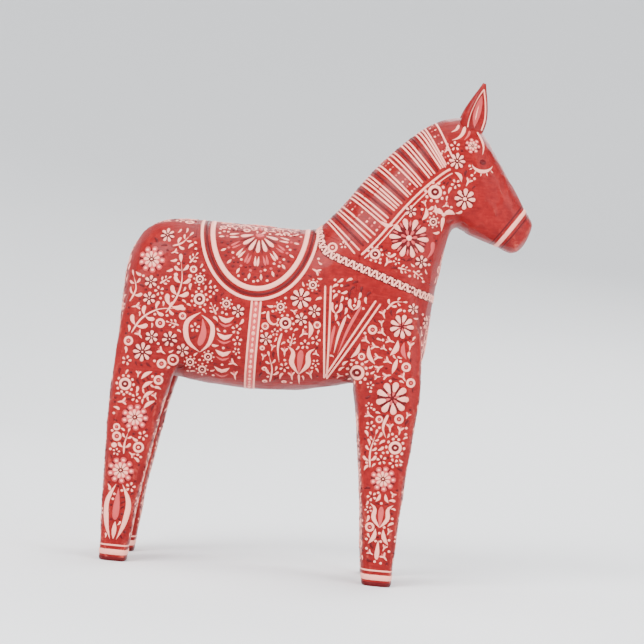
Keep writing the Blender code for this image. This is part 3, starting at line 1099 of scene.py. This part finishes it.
def paint_head(brush):
    """Forelock, closed eye, cheek flowers and throat bow."""
    brush.rosette((104, 349), 6.2, 7)
    brush.stroke([(97, 364), (95.5, 358), (92, 354), (87.5, 352)], 1.5, "comma")
    brush.stroke([(107, 361), (111, 355), (113, 349), (112.5, 343)], 1.4, "comma")
    brush.stroke([(92, 365), (90.5, 361), (86.5, 358.5)], 1.2, "comma")
    brush.stroke([(101, 361), (100, 357), (97, 353)], 1.1, "comma", "rose")
    eye = (113, 337)
    brush.stroke(arc(eye, (8.6, 7.2), 200, 345, 9), 1.55)
    brush.dot((113.3, 337.2), 2.6, "deep")
    for angle in (218, 242, 268, 294, 318):
        across, up = math.cos(math.radians(angle)), math.sin(math.radians(angle))
        foot = (eye[0] + 9.4 * across, eye[1] + 8.2 * up)
        brush.leaf(foot, (foot[0] + 3.0 * across, foot[1] + 3.0 * up), 0.55)
    brush.flower((93, 336), 6.4, 8)
    brush.leaf((92, 327), (98, 320), 1.6, 0.2)
    brush.ring_flower((78, 310), 8.6, 10)
    brush.leaf((79, 300), (81, 292), 1.4)
    brush.daisy((102, 307), 7.6, 2.2, 8.2, 8, 2.1)
    brush.dot((102, 307), 1.7, level=1)
    for turn in (1, -1):
        brush.leaf((86.5, 293), (86.5 + turn * 9, 294.5), 2.2, turn * 0.22)
    brush.leaf((86.5, 291), (86, 280), 2.0, kind="comma")
    brush.dot((86.5, 293), 1.5, level=1)


def paint_noseband(painting, tree):
    """A cream line with a dark one on each side, right round the muzzle."""
    top, bottom = (Vector((x, 0, z)) for x, z in NOSEBAND)
    for shift, half_width, colour in ((0, 1.9, "cream"), (4.4, 0.75, "deep"), (-4.4, 0.75, "deep")):
        ahead = Vector((0.86, 0, -0.5)) * shift
        middle = ((top + ahead) + (bottom + ahead)) / 2
        up = ((top + ahead) - (bottom + ahead)).normalized()
        path = slice_round(tree, middle, up, reach=34, count=56)
        Brush(painting, Band(tree, path, closed=True), "head").all_round(2.2, half_width, colour)


def paint_neck(brush):
    """The large neck flower with the smaller ones round it."""
    centre = (61, 272)
    brush.daisy(centre, 14.2, 6.2, 15.5, 10, 2.5)
    brush.rays(centre, 8.5, 14.0, 10, 1.0, start=18, kind="leaf", colour="rose", level=1)
    brush.rays(centre, 1.8, 6.6, 7, 1.5, start=10, colour="rose", level=2)
    brush.dot(centre, 2.2, level=3)
    brush.flower((60.5, 293), 4.6, 6)
    brush.ring_flower((36, 257), 6.6, 9)
    brush.stroke([(52, 259), (48, 256), (44, 258)], 1.1, "comma")
    brush.leaf((80, 271), (77, 258), 2.3, 0.15, colour="rose", kind="comma")
    brush.ring((2.5, 259), 3.2, 0.9)
    brush.dot((2.5, 259), 1.1)
    brush.leaf((48, 281), (38, 283), 1.8, 0.2)
    brush.leaf((70, 287), (72, 297), 1.8, -0.2)


def paint_mane(painting, tree):
    """Groups of stripes square to the crest, and the cream line that ends them.

    Returns the marks that the line makes in the side view."""
    ridge = Ridge(tree, [s.top for s in BODY[10:20]], 21)
    brush = Brush(painting, ridge, "mane")
    edge = ridge.depth_to_v(MANE_DEPTH)
    rng = random.Random(MANE_SEED)
    u, end = 9.0, ridge.length - 7.0
    group = 0
    while u < end:
        count = (2, 3, 3, 4)[group % 4]
        for k in range(count):
            place = u + MANE_SPACING * k
            if place > end:
                break
            for side in (1, -1):
                reach = edge - 3.4 + rng.uniform(-0.8, 0.8)
                sway = rng.uniform(-0.5, 0.5)
                first = 1.2 if group % 2 else 6.5
                path = [(place, side * first), (place + sway, side * reach * 0.5), (place, side * reach)]
                brush.stroke(path, 0.8, "line")
        u += MANE_SPACING * (count - 1)
        if group % 3 == 1:
            for k, side in product(range(18), (1, -1)):
                colour = "cream" if k % 4 in (0, 3) else "rose"
                depth = 4 + k // 2 * (edge - 9) / 8
                brush.dot((u + MANE_SPACING + 3.0 * (k % 2), side * depth), 0.95, colour)
            u += 9.2
        elif u + 5 < end:
            for side in (1, -1):
                brush.stroke([(u + 4.0, side * 3), (u + 4.0, side * (edge - 3.5))], 1.0, "line", "deep")
            u += 8.0
        else:
            break
        group += 1
    for side, (offset, half_width) in product((1, -1), ((0.0, 0.95), (3.6, 0.5))):
        line = [(k, side * (edge + offset)) for k in np.linspace(11, ridge.length - 14, 30)]
        brush.stroke(line, half_width, "line")
    places = product(np.linspace(4, ridge.length - 4, 60), (-8.0, -3.0, 1.8))
    covered = [ridge.place(k, edge + offset) for k, offset in places]
    return [(point.x, point.z, 3.0) for point in covered]


def paint_collar(painting, tree):
    """A zigzag rope round the base of the neck, closed over the withers."""
    left, right = ([struck_from_side(tree, side, x, z) for x, z in COLLAR_PATH] for side in (1, -1))
    front = struck(tree, Vector((RAY_START, 0, 226)), -AHEAD)
    path = [*right, front, *left[::-1], struck_from_above(tree, -8.5, 0)]
    band = Band(tree, path, closed=True)
    brush = Brush(painting, band, "collar")
    brush.all_round(2.6, 3.9, "deep")
    teeth = 2 * int(band.length / 6.4)
    zigzag = []
    for i in range(teeth):
        height = 2.5 if i % 2 else -2.5
        u = band.length * i / teeth
        zigzag += [(u - 0.7, height), (u + 0.7, height)]
        brush.dot((u, -height * 0.72), 0.8, level=1)
    brush.loop(zigzag, 1.05, level=1)


def saddle_curve(half_sizes, count):
    """The saddle's outline on one side, from its rear top to its front top."""
    return arc(SADDLE, half_sizes, 180, 360, count)


def paint_saddle(painting, tree, sides):
    """The half-round saddle's double line, over the back, and the flower in it on each side."""
    for half_sizes, half_width in ((SADDLE_OUTER, 1.25), (SADDLE_INNER, 2.0)):
        curve = saddle_curve(half_sizes, 41)[1:-1]
        halves = []
        for side in (1, -1):
            hits = [struck_from_side(tree, side, x, z) for x, z in curve]
            halves.append([h for h in hits if h is not None and h.z < SADDLE_TOP])
        band = Band(tree, over_the_back(tree, halves[0] + halves[1][::-1]), closed=True)
        brush = Brush(painting, band, "saddle")
        if half_sizes == SADDLE_OUTER:
            brush.all_round(2.4, 1.15, "deep", offset=saddle_way(band) * 3.7)
        brush.all_round(2.4, half_width, level=1)
    for brush in sides:
        for half_sizes in (SADDLE_OUTER, SADDLE_INNER):
            brush.patch.marks += [(u, v, 2.0) for u, v in saddle_curve(half_sizes, 121)]
        saddle_flower(brush)


def over_the_back(tree, points):
    """Joins the two halves of the saddle's line where they pass over the horse's back."""
    joined = []
    for point, following in zip(points, points[1:] + points[:1]):
        joined.append(point)
        if (point - following).length > SADDLE_BRIDGE:
            for k in range(1, SADDLE_BRIDGE_STEPS):
                ends = zip(point.xy, following.xy)
                x, y = (a + (b - a) * k / SADDLE_BRIDGE_STEPS for a, b in ends)
                joined.append(struck_from_above(tree, x, y))
    return joined


def saddle_way(band):
    """1 if a band's v runs towards the middle of the saddle, else -1."""
    middle = snapped(band.tree, Vector((SADDLE[0], 0, 271)))
    near, far = ((band.place(0, v) - middle).length for v in (2, -2))
    return 1 if near < far else -1


def saddle_flower(brush):
    """The half flower that hangs from the back inside the saddle."""
    u, v = centre = (SADDLE[0], SADDLE[1] - 7)
    brush.rays(centre, 5.0, 15, 7, 2.2, start=192, sweep=156)
    brush.rays(centre, 6, 16, 6, 1.3, start=205, sweep=130, kind="leaf", colour="deep")
    brush.dot((u, v - 1), 3.2, "rose")
    for i, twist in product(range(9), (-4.6, 4.6)):
        angle = 188 + 164 * i / 8
        start = polar(centre, 17.6, math.radians(angle + twist), 0.92)
        end = polar(centre, 25.5, math.radians(angle + twist * 0.5), 0.92)
        brush.stroke([start, end], 1.3, "petal", "rose" if i % 2 else "cream")
    for i in range(10):
        angle = math.radians(188 + 164 * i / 9)
        across, up = 0.86 * math.cos(angle), math.sin(angle)
        brush.dot((u + 29.5 * across, v + 29.5 * up), 1.15, "rose")
        brush.leaf((u + 32 * across, v + 31.5 * up), (u + 37.0 * across, v + 36.5 * up), 1.15)
    for i in range(9):
        angle = math.radians(196 + 148 * i / 8)
        brush.dot((u + 34.5 * (0.86 * math.cos(angle)), v + 34.0 * math.sin(angle)), 1.3, "deep")


def paint_back(painting, tree):
    """The top of the horse: a rosette with sprays on the saddle, and leaves on the croup."""
    top = Flat(tree, (0, 0, 270), AHEAD, ACROSS, UP)
    brush = Brush(painting, top, "saddle")
    brush.rosette((SADDLE[0], 0), 12.5, 10)
    for turn in (1, -1):
        u = SADDLE[0] + turn * 14
        brush.spray([(u, 0), (u + turn * 9, 1), (u + turn * 17, 0)], 3, 8)
        brush.tulip((SADDLE[0], turn * 14), 90 * turn, 13)
        for side in (1, -1):
            brush.curl((SADDLE[0] + 8 * turn, 12 * side), side * (90 - 30 * turn), 13, -turn * side)
    fill(brush, [(-88, -32), (-88, 32), (-22, 32), (-22, -32)], 71, 3.7)
    croup = Brush(painting, top, "flank")
    croup.spray([(-104, 0), (-118, 0), (-133, 0)], 4, 13)
    croup.flower((-143, 0), 5.0, 6)
    fill(croup, [(-146, -24), (-146, 24), (-104, 34), (-104, -34)], 72, 4.8)


def paint_girth(painting, tree):
    """A beaded strap from the saddle down round the belly."""
    right, left = (
        [struck_from_side(tree, side, GIRTH_X, z) for z in heights]
        for side, heights in ((-1, range(212, 162, -7)), (1, range(163, 213, 7)))
    )
    below = [struck(tree, Vector((GIRTH_X, y, 0)), UP) for y in range(-38, 39, 19)]
    band = Band(tree, right + below + left)
    brush = Brush(painting, band, "girth")
    along = np.linspace(0, band.length, int(band.length / 3))
    brush.stroke([(u, 0) for u in along], 2.8, "line", "rose")
    for offset in (-3.4, 3.4):
        brush.stroke([(u, offset) for u in along], 0.85, "line", level=1)
    beads = int(band.length / 4.6)
    for i in range(beads):
        u = band.length * (i + 0.5) / beads
        if i % 3 == 2:
            brush.dot((u, 0), 1.7, level=1)
        else:
            brush.stroke([(u - 1.8, 0), (u + 1.8, 0)], 1.2, "leaf", level=1)


def paint_flank(brush):
    """The rump, the flank and the rear of the belly."""
    brush.rosette((-136, 236), 10.5, 9)
    brush.ring_flower((-96, 209), 7.0, 9)
    brush.spray([(-121, 196), (-114, 208), (-111, 222), (-113, 236)], 4, 11)
    brush.spray([(-146, 178), (-139, 190), (-127, 198), (-112, 200)], 4, 10)
    brush.stroke([(-94, 199), (-104, 190), (-102, 176), (-92, 168)], 2.2)
    brush.stroke([(-93, 197), (-84, 189), (-85, 176), (-92, 168)], 2.0)
    brush.leaf((-92, 194), (-93, 173), 3.3, 0.1, colour="rose", kind="petal")
    for i in range(4):
        v = 196 - 13.2 * i
        brush.stroke([(-80, v + 1.5), (-74, v - 1.8), (-68, v + 1.5)], 2.1)
        brush.stroke([(-79.5, v - 3.5), (-74, v - 6), (-68.5, v - 3.5)], 1.0, "leaf", "rose")
        brush.dot((-74, v + 3.4), 1.1)
    brush.flower((-136, 164), 7.4, 8)
    brush.flower((-116, 176), 6.0, 7)
    brush.dot((-116, 226), 1.6)
    brush.dot((-105, 226), 1.6)
    brush.ring((-112, 160), 3.6, 1.0)
    brush.spray([(-150, 202), (-146, 212), (-149, 222)], 2, 8)
    brush.spray([(-121, 248), (-114, 251), (-109, 257)], 2, 7)
    brush.flower((-126, 256), 5.4, 7)


def paint_barrel(brush):
    """The belly between the girth and the shoulder."""
    brush.daisy((-18, 217), 7.2, 2.0, 8.0, 8, 2.0)
    brush.dot((-18, 217), 1.6, "rose", level=1)
    brush.ring_flower((-28, 197), 7.2, 9)
    brush.stroke([(-30, 189), (-32, 178), (-30, 166)], 1.0, "comma")
    brush.tulip((-14, 158), 90, 21)
    brush.stroke([(-14, 158), (-13, 150)], 0.9, "comma")
    for u, v in ((-44, 176), (-41, 160), (-40, 150), (-25, 151)):
        brush.dot((u, v), 2.1)
        brush.dot((u, v), 0.8, "deep", level=1)
    brush.leaf((-10, 200), (-9, 187), 2.0, 0.15)
    brush.curl((-42, 205), -100, 12, turn=1, half_width=1.2)
    brush.spray([(-36, 150), (-35, 160), (-38, 170)], 2, 7)


def paint_shoulder(brush):
    """The fan of double lines on the shoulder and the flowers below it."""
    base, left, right = (Vector(point) for point in (FAN_BASE, *FAN_TIPS))
    for tip in (left, right):
        way = (tip - base).normalized()
        side = Vector((-way.y, way.x))
        for turn in (1, -1):
            ends = ((base, 1.0), ((base + tip) / 2, 1.9), (tip, 2.2))
            brush.stroke([point + side * turn * apart for point, apart in ends], 0.85, "line")
        for i in range(9):
            brush.dot(base + (tip - base) * (0.22 + 0.085 * i), 0.5, "deep")
    for share, reach, colour in ((0.26, 0.6, "rose"), (0.5, 0.74, "cream"), (0.74, 0.9, "rose")):
        tip = left.lerp(right, share)
        brush.leaf(base.lerp(tip, 0.3), base.lerp(tip, reach), 1.5, 0.03, colour, kind="petal")
    for (u, v), turn in product(((10, 208), (23.5, 212)), (1, -1)):
        brush.leaf((u, v), (u + turn * 3.4, v + 8.5), 1.6, -turn * 0.2, kind="petal")
    brush.ring_flower((31, 164), 9.0, 11)
    brush.leaf((25, 175), (31, 187), 1.7, -0.12)
    brush.leaf((44, 172), (38, 186), 1.8, 0.15)


def paint_chest(brush):
    """The edge of the breast, down in front of the shoulder."""
    brush.daisy((62, 203), 8.6, 2.4, 9.4, 9, 2.1)
    brush.rays((62, 203), 1.2, 4.0, 5, 1.0, colour="rose", level=2)
    brush.leaf((60, 192), (55, 180), 2.3, 0.15)
    brush.leaf((65, 191), (68, 178), 2.0, -0.15, colour="rose")
    brush.leaf((61, 178), (58, 166), 1.9)
    brush.flower((69.5, 217.5), 4.2, 6)
    brush.spray([(49, 215), (54, 221), (61, 222)], 2, 6)


def paint_fore_leg(brush):
    """Flowers and leaves down the outside of a fore leg."""
    brush.daisy((60, 147), 11.5, 3.6, 12.8, 9, 2.9)
    brush.rays((60, 147), 1.4, 5.4, 6, 1.3, start=20, colour="rose", level=2)
    brush.stroke([(58, 134), (55, 124), (58, 116)], 1.3, "comma")
    brush.ring_flower((66, 109), 8.0, 10)
    brush.rosette((59, 84), 10.0, 9)
    brush.leaf((58, 72.5), (55, 66), 1.4, 0.12)
    brush.leaf((62, 72.5), (65, 66), 1.4, -0.12)
    brush.tulip((60, 46), 90, 18)
    brush.leaf((57, 45), (52.5, 33), 1.9, 0.12)
    brush.leaf((63, 45), (68, 33), 1.9, -0.12)
    brush.leaf((60, 36), (60, 21), 2.2, kind="petal")
    brush.spray([(48, 92), (47, 104), (50, 118)], 3, 7)


def paint_hind_leg(brush):
    """Flowers and flames down the outside of a hind leg."""
    brush.ring_flower((-147, 138), 7.6, 10)
    for i in range(4):
        u, v = -130 + 1.4 * i, 146 - 7.5 * i
        brush.leaf((u - 5, v - 3), (u + 3, v + 3.5), 1.6, 0.1)
    brush.rosette((-137, 113), 10.4, 9)
    brush.dot((-151, 90), 2.2)
    brush.ring((-132, 90), 3.4, 1.0)
    brush.dot((-132, 90), 1.1)
    brush.spray([(-143, 84), (-143, 92), (-141, 101)], 2, 7)
    brush.rosette((-144, 71), 10.4, 9)
    for turn in (1, -1):
        foot = (-144 + turn * 2.5, 60)
        path = [foot, (-144 + turn * 8.4, 46), (-144.5 + turn * 7, 30), (-145 + turn * 2.5, 17)]
        brush.stroke(path, 2.5)
    brush.leaf((-144.3, 57), (-145, 32), 3.3, colour="rose", kind="petal")
    brush.leaf((-144.6, 31), (-145, 17), 2.0)


def paint_leg_ends(painting, tree):
    """Right round each leg near its foot: a dark sole band, a cream band and a fine line."""
    lines = ((1.7, 1.9, "deep"), (7.0, 2.4, "cream"), (12.4, 0.7, "cream"))
    for stations, side, line in product((HIND_LEG, FORE_LEG), (1, -1), lines):
        z, half_width, colour = line
        foot = next(s for s in stations if s.z >= z)
        middle = Vector(((foot.rear + foot.front) / 2, side * (foot.outer + foot.inner) / 2, z))
        path = slice_round(tree, middle, AHEAD, reach=22, count=48)
        band = Band(tree, path, closed=True)
        Brush(painting, band, "feet").all_round(2, half_width, colour)


def leg_faces(painting, tree):
    """Simple leaves down the front and the back of each leg."""
    for stations, side, face in product((HIND_LEG, FORE_LEG), (1, -1), (1, -1)):
        shin = stations[4]
        edge = shin.front if face == 1 else shin.rear
        origin = (edge - face * 4, side * (shin.outer + shin.inner) / 2, 0)
        flat = Flat(tree, origin, ACROSS, UP, AHEAD * face, reach=50)
        brush = Brush(painting, flat, "legs")
        top = 150 if (face == 1) == (stations is FORE_LEG) else 134
        brush.spray([(0, 22), (0.8, 48), (-0.8, 76), (0, 96)], 8, 10.5)
        brush.flower((0, 106), 6.6, 7)
        brush.spray([(0, 114), (0.5, 122), (0, top - 6)], 3, 9)
        fill(brush, [(-11, 18), (11, 18), (11.5, top), (-11.5, top)], 90 + side, 2.9)


def both_halves(edge):
    """A polygon from its left edge, mirrored for the right one."""
    return edge + [(-y, z) for y, z in reversed(edge)]


def paint_front(painting, tree):
    """The breast seen from the front: a heart of leaves with a tulip."""
    flat = Flat(tree, (60, 0, 0), ACROSS, UP, AHEAD)
    brush = Brush(painting, flat, "chest")
    brush.tulip((0, 186), 90, 26)
    for turn in (1, -1):
        brush.stroke([(0, 166), (turn * 14, 178), (turn * 19, 196), (turn * 9, 206)], 2.2)
        brush.stroke([(0, 164), (turn * 20, 170), (turn * 29, 190), (turn * 24, 210)], 1.5, "comma")
        brush.flower((turn * 31, 208), 5.4, 7)
    brush.rosette((0, 160), 6.0, 8)
    fill(brush, both_halves([(44, 157), (45, 185), (39, 216)]), 61, 4.8)
    neck = Brush(painting, flat, "neck")
    neck.rosette((0, 249), 7.6, 9)
    for turn in (1, -1):
        neck.leaf((turn * 3, 259), (turn * 13, 264), 1.9, turn * 0.2)
    fill(neck, [(-27, 236), (27, 236), (22, 264), (-22, 264)], 62, 3.7)


def paint_face(painting, tree):
    """The forehead seen from in front and above: a leaf spray below the forelock."""
    flat = Flat(tree, (110, 0, 360), ACROSS, Vector((-0.6, 0, 0.8)), Vector((0.8, 0, 0.6)))
    brush = Brush(painting, flat, "head")
    brush.rosette((0, -10), 6.6, 8)
    brush.spray([(0, -19), (0, -30), (0, -44)], 4, 8)
    for turn in (1, -1):
        brush.stroke([(turn * 2, 4), (turn * 7, 0), (turn * 9, -8)], 1.5, "comma")
        brush.stroke([(turn * 1, 9), (turn * 11, 6), (turn * 15, -1)], 1.3, "comma")


def paint_rear(painting, tree):
    """The rump seen from behind: a tall spray between two flowers."""
    flat = Flat(tree, (-140, 0, 0), ACROSS, UP, -AHEAD)
    brush = Brush(painting, flat, "flank")
    brush.spray([(0, 168), (0, 184), (0, 202), (0, 220)], 5, 13)
    brush.rosette((0, 234), 9.0, 9)
    for turn in (1, -1):
        brush.flower((turn * 23, 224), 6.8, 8)
        brush.spray([(turn * 22, 172), (turn * 24, 186), (turn * 22, 202)], 3, 9)
    fill(brush, both_halves([(42, 160), (42, 205), (37, 234), (20, 252)]), 63, 4.8)


def paint_ears(painting, ears):
    """A cream line inside the edge of each ear, round a rose leaf."""
    for side, ear in ears.items():
        root, axis, forward, outward = ear_axes(side)
        flat = Flat(tree_of(ear.data), root, forward, axis, outward)
        brush = Brush(painting, flat, "head")
        brush.leaf((0, 3), (0, 29), 4.4, colour="rose")
        for turn in (1, -1):
            brush.stroke([(turn * 6.6, 2), (turn * 7.0, 12), (turn * 4.2, 24), (0, 34)], 0.7, "line")
        brush.leaf((0, 8), (0, 22), 1.3, level=1)


def saddle_edge(start, end, count):
    """Points along the clear ground round the saddle."""
    return arc(SADDLE, SADDLE_CLEAR, start, end, count)


FLANK_GROUND = [
    (-152.5, 151.5), (-152.5, 200), (-149.5, 224), (-145, 242), (-137, 255), (-124, 262), (-105, 264.5),
    *saddle_edge(186, 266, 14), (-59, 147.5), (-86, 148.5), (-110, 151.5),
]
BARREL_GROUND = [
    (-46, 147.5), *saddle_edge(278, 346, 12), (-3.5, 246), (-2.5, 232), (0.5, 193), (3, 157), (-20, 148.5),
]
FAN_GROUND = [(6, 170), (4.5, 236), (22, 238), (38, 226), (14, 172)]
SHOULDER_GROUND = [(10, 156), (44, 216), (74.5, 220), (75, 192), (73, 170), (71, 160), (34, 158)]
NECK_GROUND = [
    (2, 262), (12, 256), (42, 247), (66, 240), (77, 237), (80, 250), (83.5, 268), (87, 283), (84, 300),
    (88, 316), (84, 324), (70, 318), (45, 292), (28, 272),
]
CHEEK_GROUND = [
    (80, 296), (93, 290), (112, 300), (111, 322), (100, 344), (93, 358), (82, 350), (72, 326),
]
FORE_LEG_GROUND = [
    (38, 158), (79, 166), (74.5, 108), (71.5, 60), (70.5, 17), (51.5, 17), (46.5, 60), (41, 104),
]
HIND_LEG_GROUND = [
    (-155, 150), (-115.5, 150), (-121.5, 120), (-127.5, 88), (-132, 50), (-135.5, 17), (-153.2, 17),
    (-155.2, 60),
]
SADDLE_GROUND = arc(SADDLE, (34.4, 46.8), 184, 356, 30)


# Place, what paints it, the ground to fill after that, seed, largest motif and gap between motifs
ZONES = (
    ("head", paint_head, CHEEK_GROUND, 31, 3.9, 0.6),
    ("neck", paint_neck, NECK_GROUND, 32, 5.0, 0.3),
    ("flank", paint_flank, FLANK_GROUND, 33, 5.0, 0.72),
    ("barrel", paint_barrel, BARREL_GROUND, 34, 5.0, 0.45),
    ("shoulder", paint_shoulder, FAN_GROUND, 35, 2.3, 0.4),
    ("chest", paint_chest, SHOULDER_GROUND, 36, 3.9, 0.3),
    ("legs", paint_fore_leg, FORE_LEG_GROUND, 37, 3.9, 0.25),
    ("legs", paint_hind_leg, HIND_LEG_GROUND, 38, 3.9, 0.2),
)


def paint_horse(form_mesh, ears):
    """All the ornament, as paint that stands a little proud of the surface."""
    painting = Painting(PAINTING_SEED)
    tree = tree_of(form_mesh)
    flats = [Flat(tree, (0, 0, 0), AHEAD, UP, ACROSS * side) for side in (1, -1)]

    def brushes(place):
        return [Brush(painting, flat, place) for flat in flats]

    collar_marks = [(x, z, 6.2) for x, z in refined(COLLAR_CLEAR, 8)]
    mane_marks = paint_mane(painting, tree)
    for flat in flats:
        flat.marks += collar_marks + mane_marks
    paint_saddle(painting, tree, brushes("saddle"))
    for paint in (paint_collar, paint_girth, paint_noseband, paint_leg_ends):
        paint(painting, tree)
    for place, paint, ground, seed, largest, gap in ZONES:
        for brush in brushes(place):
            paint(brush)
            fill(brush, ground, seed, largest, gap)
    for brush in brushes("saddle"):
        fill(brush, SADDLE_GROUND, 39, 1.2)
    for paint in (leg_faces, paint_front, paint_face, paint_rear, paint_back):
        paint(painting, tree)
    paint_ears(painting, ears)
    painting.show()


# ---- Putting it together ----------------------------------------------------------------------


def grain_of(node):
    """Which way a board's grain runs."""
    if "leg" in node:
        return "upright"
    if "neck" in node or "ear" in node:
        return "sloped"
    return "level"


# The studio, in metres. Each lamp has a name, a place, a size and a power in watts
FLOOR_FLAT = 1.6
FLOOR_RADIUS = 4.2
WALL_HEIGHT = 3.9
FLOOR_SIDES = 96
FLOOR_STEPS = 12
BACKDROP_TONES = ((0.78, 0.79, 0.80), (0.80, 0.81, 0.82))
LAMPS = (
    ("key_light", (-1.2, -1.9, 1.9), 1.5, 132),
    ("fill_light", (1.9, -1.3, 0.9), 1.8, 50),
    ("top_light", (0.1, 0.2, 2.5), 2.0, 58),
    ("back_light", (0.6, 2.0, 1.5), 1.6, 46),
)
SKY_COLOUR = (0.93, 0.95, 1.0, 1)
SKY_STRENGTH = 0.6
CAMERA_LENS = 135
CAMERA_SENSOR = 36
CAMERA_LIFT = 0.02
CAMERA_ROLL = math.radians(5.6)
HORSE_SHARE = 0.78


def show_piece(obj, node):
    """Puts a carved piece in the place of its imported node."""
    grain = grain_of(node)
    obj.data.materials.clear()
    obj.data.materials.append(FINISHES[f"red_{grain}"])
    obj.data.materials.append(FINISHES[f"pine_{grain}"])
    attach(obj, "root")
    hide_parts(node)


def finish_dowels():
    """The dowels stay as they were packed, in birch."""
    for name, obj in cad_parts.items():
        if name.startswith("dowel_"):
            for slot in obj.material_slots:
                slot.material = FINISHES["birch"]


def studio_floor():
    """A pale floor that rises all round."""
    rise = FLOOR_RADIUS - FLOOR_FLAT
    profile = [(FLOOR_FLAT, 0.0)]
    for i in range(1, FLOOR_STEPS + 1):
        angle = math.radians(90 * i / FLOOR_STEPS)
        profile.append((FLOOR_FLAT + rise * math.sin(angle), rise * (1 - math.cos(angle))))
    profile.append((FLOOR_RADIUS, WALL_HEIGHT))
    bm = bmesh.new()
    turns = [2 * math.pi * i / FLOOR_SIDES for i in range(FLOOR_SIDES)]
    rows = [
        [bm.verts.new((reach * math.cos(turn), reach * math.sin(turn), z)) for turn in turns]
        for reach, z in profile
    ]
    bm.faces.new(rows[0])
    for lower, upper in zip(rows, rows[1:]):
        for i in range(-1, FLOOR_SIDES - 1):
            bm.faces.new((lower[i], upper[i], upper[i + 1], lower[i + 1]))
    floor = mesh_object("studio_floor", bm, 1)
    floor.data.shade_smooth()
    backdrop = Finish("studio_backdrop")
    tone = backdrop.noise(backdrop.place(), 1.5, 2)
    colour = backdrop.mix(tone, *BACKDROP_TONES)
    roughness = backdrop.spread(tone, 0, 1, 0.8, 0.9)
    floor.data.materials.append(backdrop.finish(colour, roughness, tone, 0.0001))
    return floor


def studio_lights(middle):
    """Soft lamps that look at the middle of the horse, and a pale sky."""
    for name, place, size, power in LAMPS:
        data = bpy.data.lights.new(name, "AREA")
        data.shape = "DISK"
        data.size = size
        data.energy = power
        lamp = linked(name, data)
        lamp.location = place
        lamp.rotation_euler = (middle - lamp.location).to_track_quat("-Z", "Y").to_euler()
    world = bpy.data.worlds.new("studio_world")
    world.use_nodes = True
    background = world.node_tree.nodes["Background"]
    background.inputs["Color"].default_value = SKY_COLOUR
    background.inputs["Strength"].default_value = SKY_STRENGTH
    bpy.context.scene.world = world


def studio_camera(middle):
    """A long lens that sees the horse's right side, rolled a little."""
    data = bpy.data.cameras.new("camera")
    data.lens = CAMERA_LENS
    data.sensor_width = CAMERA_SENSOR
    camera = linked("camera", data)
    distance = (CAD_HIGH.z - CAD_LOW.z) / HORSE_SHARE * data.lens / data.sensor_width
    camera.location = middle + Vector((0, -distance, CAMERA_LIFT))
    aim = (middle - camera.location).to_track_quat("-Z", "Y").to_matrix()
    camera.rotation_euler = (aim @ Matrix.Rotation(CAMERA_ROLL, 3, "Z")).to_euler()
    bpy.context.scene.camera = camera


form = carved_form()
boards = {node: cut_board(f"carved_{node}", form, planes) for node, planes in board_cells().items()}
drill(boards)
for node, board in boards.items():
    show_piece(board, node)
ears = {}
for side, side_name in SIDES:
    ears[side] = ear_piece(side, f"carved_{side_name}_ear")
    show_piece(ears[side], f"{side_name}_ear")
finish_dowels()
paint_horse(form, ears)
studio_floor()
horse_middle = (CAD_LOW + CAD_HIGH) / 2
studio_lights(horse_middle)
studio_camera(horse_middle)
